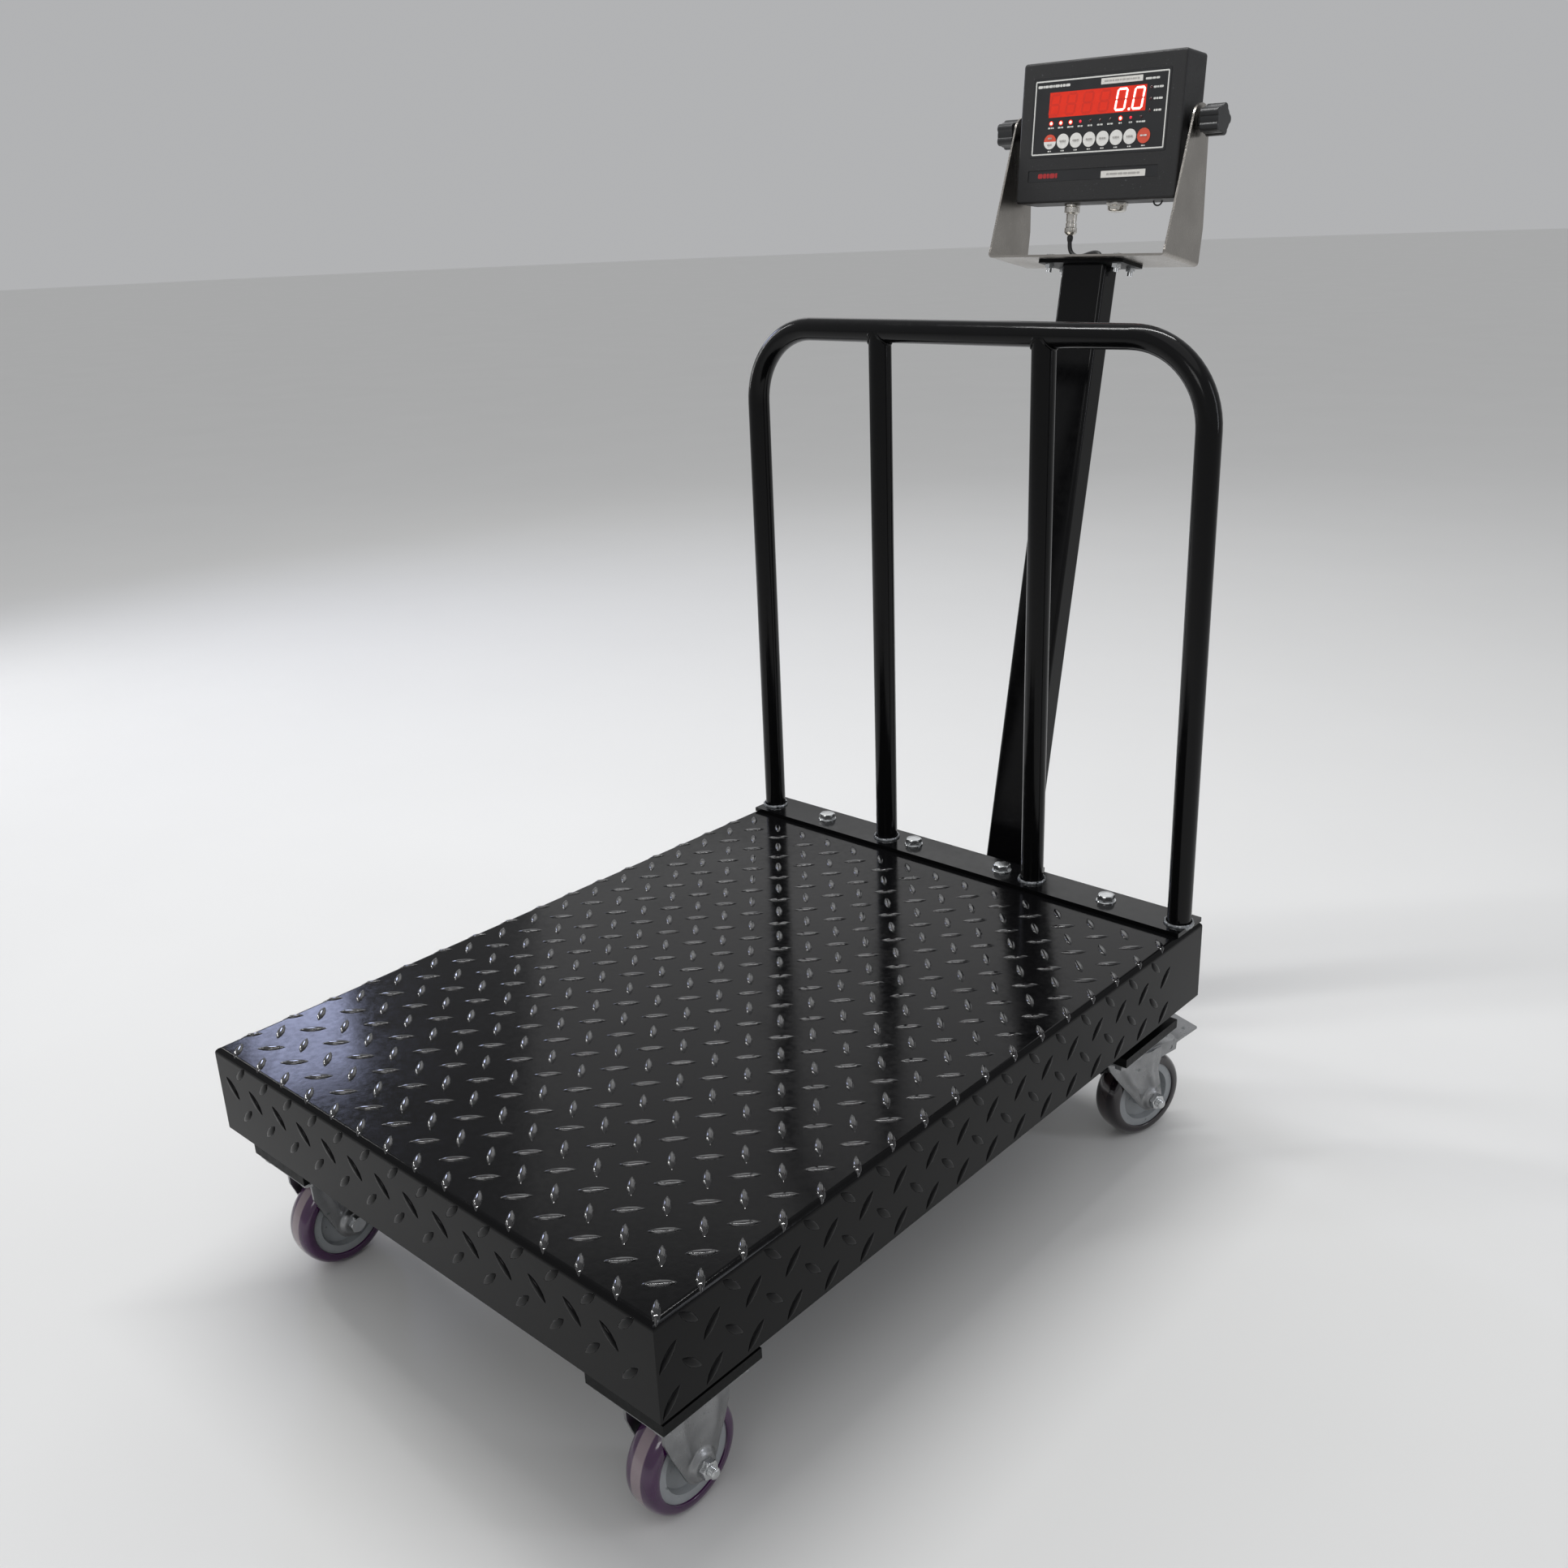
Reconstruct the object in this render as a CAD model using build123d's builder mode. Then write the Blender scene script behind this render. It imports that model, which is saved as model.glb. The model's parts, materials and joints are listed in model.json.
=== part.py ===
from build123d import *
import os
from math import acos, cos, degrees, radians, sin, tan

os.makedirs("parts", exist_ok=True)

# Portable platform scale. Millimetres, +Z up, floor at Z = 0, front towards -Y.
# Every Y below is measured from the middle of the deck; deck_y shifts them to the row's frame,
# whose origin is under the middle of the whole object's box.

# ---------------------------------------------------------------- driving dimensions
deck_y = -146.55           # the deck's middle in the row's frame

# Deck: one tread plate folded down on four sides
deck_w = 609.6
deck_l = 812.8
deck_top = 250.0
plate_t = 4.5
skirt_h = 88.9
bend_r = 6.0

# Back rail
tube_d = 25.4
tube_wall = 2.0
rail_h = 603.6             # the top tube's axis above the deck
rail_half = 290.0
rail_corner_r = 85.0
inner_post_x = 105.3
strip_l = 606.0
strip_w = 50.8
strip_t = 5.0
seat_cut = 0.3             # the tread is planed flat this deep where the strip stands
rail_bolt_x = (64.0, 201.5)

# Under-frame and load cells
frame_top = 180.0
frame_tube_h = 40.0
frame_tube_w = 50.0
frame_wall = 2.5
side_tube_x = 255.0
frame_l = 750.0
cross_y = 350.0
pad_w = 88.0
pad_l = 108.0
pad_t = 10.0
cell_w = 32.0
cell_l = 130.0
cell_y = 277.0
cell_bolt_r = 6.0
cell_bolt_half = 14.0      # half the distance between a cell's two bolts
gauge_pocket_r = 11.0
mount_bar_y = 245.0
mount_bar_w = 60.0
mount_bar_t = 8.0
channel_x = 150.0
channel_w = 60.0
channel_h = 40.0
channel_t = 3.0
channel_l = 770.0

box_x = 75.0               # junction box
box_w = 80.0
box_l = 110.0
box_h = 28.0
box_wall = 3.0
lid_t = 4.0

# Casters
wheel_d = 100.0
wheel_w = 32.0
hub_r = 38.0
axle_r = 5.0
plate_w = 84.0
plate_l = 105.0
caster_plate_t = 3.0
caster_bolt_x = 32.0
caster_bolt_y = 43.0
fork_gap = 40.0
fork_t = 3.0
caster_h = 130.0
front_caster_x = 246.0
front_caster_y = -338.0
rear_caster_x = 252.0
rear_caster_y = 325.0
rear_caster_turn = 18.0    # degrees that the rear casters trail outwards
trail = 35.0
crown_top = 114.0
crown_r = 31.0
front_boss_r = 17.0        # the round end of each leg about the axle
rear_boss_r = 15.0
caster_bolt_r = 4.0
kingpin_r = 6.0
pedal_y = 60.0             # the brake pedal's pin, behind the swivel and above the floor
pedal_z = 106.0
pedal_pin_r = 2.5
pedal_w = 38.8

# Column and its foot
column_w = 57.0
column_d = 32.0
column_wall = 2.0
column_lean = 11.5
column_y = 505.0           # the column's axis at the height of the deck
column_low = -100.0
column_high = 671.0
tail_w = 60.0
tail_h = 30.0
tail_end = 535.0
foot_bolt_s = (-86.0, -62.0)
cheek_top = 200.0          # the foot ends below the deck, out of the way of the skirt
cheek_t = 5.0
cheek_gap = 0.1
foot_l = 100.0
foot_t = 5.0

# Indicator bracket
bracket_half = 115.0
bracket_t = 2.5
bracket_depth = 80.0
top_plate_t = 4.0
pivot_s = 821.0
bracket_bolt_x = 44.0
bracket_bolt_c = 16.0
bracket_bolt_r = 3.0
arm_end_r = 18.0           # the arms' round ends about the pivot
grommet_x = 14.0
grommet_c = 2.0
grommet_r = 10.0

# Indicator
case_w = 207.4
case_down = 80.0           # below the pivot
case_up = 71.0             # above the pivot
case_d = 45.0
case_split = 30.0          # depth of the front shell
case_wall = 2.5
case_tilt = 5.5
panel_x = -0.7
panel_v = 11.4
panel_w = 174.0
panel_h = 84.0
panel_t = 0.6
panel_proud = 0.2
window_x = -3.9
window_v = 24.7
window_w = 123.4
window_h = 26.5
key_count = 8
key_pitch = 17.2
key_first_x = -61.5
key_v = -14.2
key_r = 7.9
key_t = 0.5
plunger_r = 3.2
lower_x = -4.4             # the recessed strip below the keys
lower_v = -50.6
lower_w = 167.6
lower_h = 12.5
socket_x = -39.0
spare_x = 20.0
socket_flange_t = 3.0
socket_hole_r = 7.0
plug_length = 35.0
plug_grip_r = 7.8
grip_l = 12.0
waist_l = 14.0
screw_x = 96.0             # the case's four screws, from its middle
screw_v = 68.0
spacer_r = 8.0
stud_r = 4.0
knob_r = 17.0
knob_length = 26.0
run_clear = 0.05           # radial clearance of a running fit
gap = 0.3                  # side clearance between moving pieces
cable_d = 5.0


# ---------------------------------------------------------------- helpers
def level(z, x=0.0, y=0.0):
    """The horizontal plane at height z, centred on a point given from the deck's middle."""
    return Plane(origin=(x, deck_y + y, z))


def touch_point(centre, radius, outside, hand):
    """Where a straight edge from an outside point touches a circle: hand 1 is anticlockwise."""
    away = Vector(*outside) - Vector(*centre)
    opening = degrees(acos(radius / away.length))
    touch = Vector(*centre) + away.normalized().rotate(Axis.Z, hand * opening) * radius
    return (touch.X, touch.Y)


def write(piece, name):
    """Labels a finished piece and writes it under its own name."""
    piece.part.label = name
    export_step(piece.part, f"parts/{name}.step")


def hex_bolt(plane, shank_r, length, head_af, head_h, nut_at=None):
    """A hex bolt whose head stands on the plane and whose shank goes down from it.

    nut_at is how far below the plane the nut's top face is; the nut is a solid of its own, so
    its bore leaves a running clearance round the shank.
    """
    with BuildPart() as bolt:
        with BuildSketch(plane):
            RegularPolygon(head_af / 2, 6, major_radius=False)
        extrude(amount=head_h)
        with BuildSketch(plane):
            Circle(shank_r)
        extrude(amount=-length)
        if nut_at is not None:
            with BuildSketch(plane.offset(-nut_at)):
                RegularPolygon(head_af / 2, 6, major_radius=False)
                Circle(shank_r + run_clear, mode=Mode.SUBTRACT)
            extrude(amount=-head_h * 1.2)
    return bolt.part


lean = radians(column_lean)
tilt = radians(case_tilt)


def on_column(s, x=0.0, c=0.0):
    """A plane across the leaning column, s along its axis from deck height and c to its back."""
    origin = (
        x,
        deck_y + column_y + s * sin(lean) + c * cos(lean),
        deck_top + s * cos(lean) - c * sin(lean),
    )
    return Plane(origin=origin, x_dir=(1, 0, 0), z_dir=(0, sin(lean), cos(lean)))


pivot = on_column(pivot_s).origin


def on_case(v, x=0.0, back=0.0):
    """A plane across the indicator at v above its pivot, looking down on the case."""
    origin = (
        x,
        pivot.Y + v * sin(tilt) + back * cos(tilt),
        pivot.Z + v * cos(tilt) - back * sin(tilt),
    )
    return Plane(origin=origin, x_dir=(1, 0, 0), z_dir=(0, sin(tilt), cos(tilt)))


def on_face(back, x=0.0, v=0.0):
    """A plane parallel to the indicator's face at a depth behind the pivot, facing the user."""
    here = on_case(v, x, back).origin
    return Plane(origin=here, x_dir=(1, 0, 0), z_dir=(0, -cos(tilt), sin(tilt)))


face_back = -case_d / 2
rail_y = deck_l / 2 - strip_w / 2
skirt_low = deck_top - skirt_h
under_deck = deck_top - plate_t
strip_low = deck_top - seat_cut
post_low = strip_low + strip_t

# ---------------------------------------------------------------- deck
with BuildPart() as tread_deck:
    with BuildSketch(level(skirt_low)):
        Rectangle(deck_w, deck_l)
    extrude(amount=skirt_h)
    fillet(tread_deck.faces().sort_by(Axis.Z)[-1].edges(), bend_r)
    offset(amount=-plate_t, openings=tread_deck.faces().sort_by(Axis.Z)[0])
    with BuildSketch(level(deck_top, y=rail_y)):
        with Locations(*[(side * x, 0) for x in rail_bolt_x for side in (-1, 1)]):
            Circle(axle_r + 0.5)
    extrude(amount=-2 * plate_t, mode=Mode.SUBTRACT)
    with BuildSketch(level(deck_top, y=rail_y)):
        Rectangle(deck_w + 2, strip_w + 0.8)
    extrude(amount=-seat_cut, mode=Mode.SUBTRACT)
write(tread_deck, "tread_deck")

# Channels that stiffen the deck, with the two bars that the load cells bolt to
with BuildPart() as deck_stiffeners:
    for x in (-channel_x, 0.0, channel_x):
        with BuildSketch(level(under_deck - channel_h, x=x)):
            Rectangle(channel_w, channel_l)
        extrude(amount=channel_h)
        with BuildSketch(level(under_deck - channel_h + channel_t, x=x)):
            Rectangle(channel_w - 2 * channel_t, channel_l)
        extrude(amount=channel_h, mode=Mode.SUBTRACT)
    for y in (-mount_bar_y, mount_bar_y):
        with BuildSketch(level(under_deck - mount_bar_t, y=y)):
            Rectangle(2 * side_tube_x + mount_bar_w, mount_bar_w)
        extrude(amount=mount_bar_t)
    for side_x in (-side_tube_x, side_tube_x):
        for side_y in (-1, 1):
            with BuildSketch(level(under_deck, x=side_x, y=side_y * mount_bar_y)):
                with Locations((0, -cell_bolt_half), (0, cell_bolt_half)):
                    Circle(cell_bolt_r + run_clear)
            extrude(amount=-mount_bar_t, mode=Mode.SUBTRACT)
write(deck_stiffeners, "deck_stiffeners")

# ---------------------------------------------------------------- load cells and their feet
cell_top = under_deck - mount_bar_t
foot_y = cell_y + cell_l / 2 - 16.0
with BuildPart() as load_cells:
    for side_x in (-1, 1):
        for side_y in (-1, 1):
            middle = level(cell_top - cell_w, side_x * side_tube_x, side_y * cell_y)
            with BuildSketch(middle):
                Rectangle(cell_w, cell_l)
            extrude(amount=cell_w)
            # the gauge pockets thin the beam from both sides at its middle
            for face_x in (-1, 1):
                with BuildSketch(
                    Plane(
                        origin=(
                            side_x * side_tube_x + face_x * cell_w / 2,
                            deck_y + side_y * cell_y,
                            cell_top - cell_w / 2,
                        ),
                        x_dir=(0, 1, 0),
                        z_dir=(face_x, 0, 0),
                    )
                ):
                    Circle(gauge_pocket_r)
                extrude(amount=-10, mode=Mode.SUBTRACT)
            with BuildSketch(level(cell_top, side_x * side_tube_x, side_y * mount_bar_y)):
                with Locations((0, -cell_bolt_half), (0, cell_bolt_half)):
                    Circle(cell_bolt_r + run_clear)
            extrude(amount=-cell_w, mode=Mode.SUBTRACT)
            with BuildSketch(level(cell_top - cell_w, side_x * side_tube_x, side_y * foot_y)):
                Circle(cell_bolt_r + run_clear)
            extrude(amount=22, mode=Mode.SUBTRACT)
write(load_cells, "load_cells")

cell_bolts = []
for side_x in (-1, 1):
    for side_y in (-1, 1):
        for along in (-cell_bolt_half, cell_bolt_half):
            seat = Plane(
                origin=(
                    side_x * side_tube_x,
                    deck_y + side_y * mount_bar_y + along,
                    cell_top - cell_w,
                ),
                x_dir=(1, 0, 0),
                z_dir=(0, 0, -1),
            )
            cell_bolts.append(hex_bolt(seat, cell_bolt_r, cell_w + mount_bar_t - 0.5, 19.0, 7.5))
with BuildPart() as load_cell_bolts:
    add(cell_bolts)
write(load_cell_bolts, "load_cell_bolts")

with BuildPart() as load_cell_feet:
    for side_x in (-1, 1):
        for side_y in (-1, 1):
            spot = (side_x * side_tube_x, side_y * foot_y)
            with BuildSketch(level(frame_top, *spot)):
                Circle(17)
            extrude(amount=7, taper=12)
            with BuildSketch(level(frame_top + 7, *spot)):
                RegularPolygon(7, 6, major_radius=False)
            extrude(amount=8)
            with BuildSketch(level(frame_top + 15, *spot)):
                Circle(cell_bolt_r)
            extrude(amount=30)
write(load_cell_feet, "load_cell_feet")

# ---------------------------------------------------------------- under-frame
frame_low = frame_top - frame_tube_h
tail_start = cross_y - frame_tube_w / 2
pad_spots = [
    (side * x, y)
    for side in (-1, 1)
    for x, y in ((front_caster_x, front_caster_y), (rear_caster_x, rear_caster_y))
]
caster_holes = [
    (side_x * caster_bolt_x, side_y * caster_bolt_y) for side_x in (-1, 1) for side_y in (-1, 1)
]
frame_bars = [
    (-side_tube_x, 0.0, frame_tube_w, frame_l),
    (side_tube_x, 0.0, frame_tube_w, frame_l),
    (0.0, -cross_y, 2 * side_tube_x, frame_tube_w),
    (0.0, 0.0, 2 * side_tube_x, frame_tube_w),
    (0.0, cross_y, 2 * side_tube_x, frame_tube_w),
]
with BuildPart() as base_frame:
    for x, y, w, l in frame_bars:
        with BuildSketch(level(frame_low, x, y)):
            Rectangle(w, l)
        extrude(amount=frame_tube_h)
    for x, y, w, l in frame_bars:
        with BuildSketch(level(frame_low + frame_wall, x, y)):
            Rectangle(w - 2 * frame_wall, l - 2 * frame_wall)
        extrude(amount=frame_tube_h - 2 * frame_wall, mode=Mode.SUBTRACT)
    # the tail that carries the column runs back under the skirt
    with BuildSketch(level(frame_low - tail_h, y=(tail_start + tail_end) / 2)):
        Rectangle(tail_w, tail_end - tail_start)
    extrude(amount=tail_h)
    with BuildSketch(level(frame_low - tail_h + frame_wall, y=(tail_start + tail_end) / 2)):
        Rectangle(tail_w - 2 * frame_wall, tail_end - tail_start - 2 * frame_wall)
    extrude(amount=tail_h - 2 * frame_wall, mode=Mode.SUBTRACT)
    for x, y in pad_spots:
        with BuildSketch(level(frame_low - pad_t, x, y)):
            Rectangle(pad_w, pad_l)
        extrude(amount=pad_t)
        with BuildSketch(level(frame_low - pad_t, x, y)):
            with Locations(*caster_holes):
                Circle(caster_bolt_r + run_clear)
        extrude(amount=pad_t - 0.5, mode=Mode.SUBTRACT)
write(base_frame, "base_frame")

with BuildPart() as junction_box:
    with BuildSketch(level(frame_top, box_x)):
        RectangleRounded(box_w, box_l, 5)
    extrude(amount=box_h)
    with BuildSketch(level(frame_top + box_wall, box_x)):
        RectangleRounded(box_w - 2 * box_wall, box_l - 2 * box_wall, 3)
    extrude(amount=box_h - box_wall, mode=Mode.SUBTRACT)
    # the lid is a solid of its own, a hair above the box's rim
    with BuildSketch(level(frame_top + box_h + 0.05, box_x)):
        RectangleRounded(box_w, box_l, 5)
    extrude(amount=lid_t)
write(junction_box, "junction_box")

# ---------------------------------------------------------------- back rail
with BuildPart() as rail_base_strip:
    with BuildSketch(level(strip_low, y=rail_y)):
        Rectangle(strip_l, strip_w)
    extrude(amount=strip_t)
    with BuildSketch(level(strip_low, y=rail_y)):
        with Locations(*[(side * x, 0) for x in rail_bolt_x for side in (-1, 1)]):
            Circle(axle_r + 0.5)
    extrude(amount=strip_t, mode=Mode.SUBTRACT)
write(rail_base_strip, "rail_base_strip")

rail_top = deck_top + rail_h
with BuildPart() as rail_hoop:
    with BuildLine() as hoop_path:
        FilletPolyline(
            (-rail_half, deck_y + rail_y, post_low),
            (-rail_half, deck_y + rail_y, rail_top),
            (rail_half, deck_y + rail_y, rail_top),
            (rail_half, deck_y + rail_y, post_low),
            radius=rail_corner_r,
        )
    with BuildSketch(level(post_low, -rail_half, rail_y)):
        Circle(tube_d / 2)
        Circle(tube_d / 2 - tube_wall, mode=Mode.SUBTRACT)
    sweep(path=hoop_path.line)
write(rail_hoop, "rail_hoop")

# The two inner posts are coped to the top tube
with BuildPart() as rail_posts:
    for side in (-1, 1):
        with BuildSketch(level(post_low, side * inner_post_x, rail_y)):
            Circle(tube_d / 2)
            Circle(tube_d / 2 - tube_wall, mode=Mode.SUBTRACT)
        extrude(amount=rail_top - post_low)
    with BuildSketch(Plane(origin=(-rail_half, deck_y + rail_y, rail_top), z_dir=(1, 0, 0))):
        Circle(tube_d / 2)
    extrude(amount=2 * rail_half, mode=Mode.SUBTRACT)
write(rail_posts, "rail_posts")

rail_bolt_set = [
    hex_bolt(level(post_low, side * x, rail_y), axle_r, 24, 17, 6.4, post_low - under_deck)
    for x in rail_bolt_x
    for side in (-1, 1)
]
with BuildPart() as rail_bolts:
    add(rail_bolt_set)
write(rail_bolts, "rail_bolts")

# ---------------------------------------------------------------- column
with BuildPart() as column_foot:
    with BuildSketch(level(frame_low, y=tail_end - foot_l / 2)):
        Rectangle(foot_l, foot_l)
    extrude(amount=foot_t)
    for side in (-1, 1):
        # each cheek leans with the column and stands on the foot's plate
        cheek_x = side * (column_w / 2 + cheek_gap)
        rise = deck_top - frame_low - foot_t + 1
        fall = deck_top - cheek_top
        with BuildSketch(
            Plane(
                origin=(cheek_x, deck_y + column_y, deck_top),
                x_dir=(0, side, 0),
                z_dir=(side, 0, 0),
            )
        ):
            with BuildLine():
                back = side * 27
                low = -rise * tan(lean) * side
                high = -fall * tan(lean) * side
                Polyline(
                    (low - back * 1.2, -rise),
                    (low + back * 1.2, -rise),
                    (high + back, -fall),
                    (high - back, -fall),
                    close=True,
                )
            make_face()
        extrude(amount=cheek_t)
    for s in foot_bolt_s:
        here = on_column(s).origin
        with BuildSketch(Plane(origin=(-column_w, here.Y, here.Z), z_dir=(1, 0, 0))):
            Circle(axle_r + run_clear)
        extrude(amount=2 * column_w, mode=Mode.SUBTRACT)
write(column_foot, "column_foot")

with BuildPart() as column:
    with BuildSketch(on_column(column_low)):
        RectangleRounded(column_w, column_d, 5)
        RectangleRounded(
            column_w - 2 * column_wall, column_d - 2 * column_wall, 3, mode=Mode.SUBTRACT
        )
    extrude(amount=column_high - column_low)
    for s in foot_bolt_s:
        here = on_column(s).origin
        with BuildSketch(Plane(origin=(-column_w, here.Y, here.Z), z_dir=(1, 0, 0))):
            Circle(axle_r + run_clear)
        extrude(amount=2 * column_w, mode=Mode.SUBTRACT)
write(column, "column")

cheek_face = column_w / 2 + cheek_gap + cheek_t
foot_bolts = []
for s in foot_bolt_s:
    here = on_column(s).origin
    seat = Plane(origin=(cheek_face, here.Y, here.Z), z_dir=(1, 0, 0))
    foot_bolts.append(hex_bolt(seat, axle_r, 2 * cheek_face + 12, 17, 6.4, 2 * cheek_face))
with BuildPart() as column_bolts:
    add(foot_bolts)
write(column_bolts, "column_bolts")

bracket_holes = [
    (side_x * bracket_bolt_x, side_c * bracket_bolt_c) for side_x in (-1, 1) for side_c in (-1, 1)
]
with BuildPart() as column_top_plate:
    with BuildSketch(on_column(column_high)):
        RectangleRounded(110, 52, 4)
        with Locations(*bracket_holes):
            Circle(bracket_bolt_r + run_clear, mode=Mode.SUBTRACT)
        with Locations((grommet_x, grommet_c)):
            Circle(grommet_r, mode=Mode.SUBTRACT)
    extrude(amount=top_plate_t)
write(column_top_plate, "column_top_plate")

# ---------------------------------------------------------------- indicator bracket
base_s = column_high + top_plate_t
arm_s = pivot_s - base_s
with BuildPart() as display_bracket:
    with BuildSketch(on_column(base_s)):
        Rectangle(2 * bracket_half, bracket_depth)
    extrude(amount=arm_s + arm_end_r)
    fillet(
        display_bracket.edges().filter_by(lambda e: abs(e.tangent_at(0.5).X) < 0.01)
        .sort_by(Axis((0, 0, 0), (0, sin(lean), cos(lean))))[:2],
        5,
    )
    with BuildSketch(on_column(base_s + bracket_t)):
        Rectangle(2 * (bracket_half - bracket_t), bracket_depth)
    extrude(amount=arm_s + 20, mode=Mode.SUBTRACT)
    # the arms taper upwards to a round end about the pivot
    with BuildSketch(
        Plane(
            origin=on_column(base_s, -bracket_half - 5).origin,
            x_dir=(0, cos(lean), -sin(lean)),
            z_dir=(1, 0, 0),
        )
    ) as arm_profile:
        with BuildLine():
            Polyline(
                (-40, -1),
                (40, -1),
                (38.5, 42),
                (arm_end_r, arm_s),
                (-arm_end_r, arm_s),
                (-38.5, 12),
                (-40, 6),
                close=True,
            )
        make_face()
        with Locations((0, arm_s)):
            Circle(arm_end_r)
    extrude(amount=2 * bracket_half + 10, mode=Mode.INTERSECT)
    with BuildSketch(Plane(origin=(-bracket_half - 5, pivot.Y, pivot.Z), z_dir=(1, 0, 0))):
        Circle(stud_r + run_clear)
    extrude(amount=2 * bracket_half + 10, mode=Mode.SUBTRACT)
    with BuildSketch(on_column(base_s)):
        with Locations(*bracket_holes):
            Circle(bracket_bolt_r + run_clear)
        with Locations((grommet_x, grommet_c)):
            Circle(grommet_r)
    extrude(amount=bracket_t, mode=Mode.SUBTRACT)
write(display_bracket, "display_bracket")

base_bolts = [
    hex_bolt(
        on_column(base_s + bracket_t, x, c), bracket_bolt_r, 16, 10, 4, bracket_t + top_plate_t
    )
    for x, c in bracket_holes
]
with BuildPart() as bracket_bolts:
    add(base_bolts)
write(bracket_bolts, "bracket_bolts")

with BuildPart() as cable_grommet:
    with BuildSketch(on_column(base_s + bracket_t, grommet_x, grommet_c)):
        Circle(grommet_r + 2.5)
    extrude(amount=2)
    with BuildSketch(on_column(column_high - 2, grommet_x, grommet_c)):
        Circle(grommet_r - 0.05)
    extrude(amount=bracket_t + top_plate_t + 2)
    with BuildSketch(on_column(column_high - 2, grommet_x, grommet_c)):
        Circle(grommet_r - 2)
    extrude(amount=20, mode=Mode.SUBTRACT)
write(cable_grommet, "cable_grommet")

# ---------------------------------------------------------------- indicator case
case_h = case_down + case_up
case_mid = (case_up - case_down) / 2
with BuildPart() as housing_front:
    with BuildSketch(on_face(face_back + case_split, v=case_mid)):
        Rectangle(case_w, case_h)
    extrude(amount=case_split)
    face_axis = Axis((0, 0, 0), (0, -cos(tilt), sin(tilt)))
    fillet(housing_front.edges().filter_by(face_axis), 4)
    fillet(housing_front.faces().sort_by(face_axis)[-1].edges(), 3)
    with BuildSketch(on_face(face_back + case_split, v=case_mid)):
        RectangleRounded(case_w - 2 * case_wall, case_h - 2 * case_wall, 3)
    extrude(amount=case_split - case_wall, mode=Mode.SUBTRACT)
    # the label panel's recess, its window, the recessed strip and the key plungers' holes
    with BuildSketch(on_face(face_back, panel_x, panel_v)):
        RectangleRounded(panel_w + 0.4, panel_h + 0.4, 2)
    extrude(amount=panel_proud - panel_t, mode=Mode.SUBTRACT)
    with BuildSketch(on_face(face_back, window_x, window_v)):
        Rectangle(window_w, window_h)
    extrude(amount=-case_wall - 1, mode=Mode.SUBTRACT)
    with BuildSketch(on_face(face_back, lower_x, lower_v)):
        RectangleRounded(lower_w, lower_h, 1)
    extrude(amount=-0.8, mode=Mode.SUBTRACT)
    with BuildSketch(on_face(face_back, key_first_x, key_v)):
        with Locations(*[(i * key_pitch, 0) for i in range(key_count)]):
            Circle(plunger_r + gap)
    extrude(amount=-case_wall - 1, mode=Mode.SUBTRACT)
    with BuildSketch(Plane(origin=(-case_w, pivot.Y, pivot.Z), z_dir=(1, 0, 0))):
        Circle(stud_r + run_clear)
    extrude(amount=2 * case_w, mode=Mode.SUBTRACT)
    with BuildSketch(on_case(-case_down)):
        with Locations((socket_x, 0), (spare_x, 0)):
            Circle(socket_hole_r)
    extrude(amount=case_wall, mode=Mode.SUBTRACT)
write(housing_front, "housing_front")

with BuildPart() as housing_back:
    with BuildSketch(on_face(face_back + case_d, v=case_mid)):
        RectangleRounded(case_w, case_h, 4)
    extrude(amount=case_d - case_split)
    fillet(housing_back.faces().sort_by(face_axis)[0].edges(), 3)
    with BuildSketch(on_face(face_back + case_d - case_wall, v=case_mid)):
        RectangleRounded(case_w - 2 * case_wall, case_h - 2 * case_wall, 3)
    extrude(amount=case_d, mode=Mode.SUBTRACT)
    with BuildSketch(on_face(face_back + case_d, v=case_mid)):
        with Locations(*[(x, v) for x in (-screw_x, screw_x) for v in (-screw_v, screw_v)]):
            Circle(2 + run_clear)
    extrude(amount=case_wall, mode=Mode.SUBTRACT)
write(housing_back, "housing_back")

with BuildPart() as housing_screws:
    for x in (-screw_x, screw_x):
        for v in (-screw_v, screw_v):
            there = on_face(face_back + case_d, x, case_mid + v)
            seat = Plane(origin=there.origin, x_dir=(1, 0, 0), z_dir=-there.z_dir)
            with BuildSketch(seat):
                Circle(3.6)
            extrude(amount=2)
            with BuildSketch(seat):
                Circle(2)
            extrude(amount=-12)
            with BuildSketch(seat.offset(2)):
                Rectangle(4.4, 0.9)
                Rectangle(0.9, 4.4)
            extrude(amount=-1, mode=Mode.SUBTRACT)
write(housing_screws, "housing_screws")

panel_front = face_back - panel_proud
with BuildPart() as key_panel:
    with BuildSketch(on_face(panel_front, panel_x, panel_v)):
        RectangleRounded(panel_w, panel_h, 2)
        with Locations((window_x - panel_x, window_v - panel_v)):
            Rectangle(window_w, window_h, mode=Mode.SUBTRACT)
        with Locations(
            *[(key_first_x - panel_x + i * key_pitch, key_v - panel_v) for i in range(key_count)]
        ):
            Circle(key_r + gap, mode=Mode.SUBTRACT)
    extrude(amount=-panel_t)
write(key_panel, "key_panel")

with BuildPart() as display_window:
    with BuildSketch(on_face(panel_front, window_x, window_v)):
        Rectangle(window_w - 0.1, window_h - 0.1)
    extrude(amount=-2.2)
write(display_window, "display_window")

with BuildPart() as led_display:
    with BuildSketch(on_face(panel_front + 2.8, window_x, window_v)):
        Rectangle(window_w - 4, window_h - 1.5)
    extrude(amount=-8)
write(led_display, "led_display")

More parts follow.
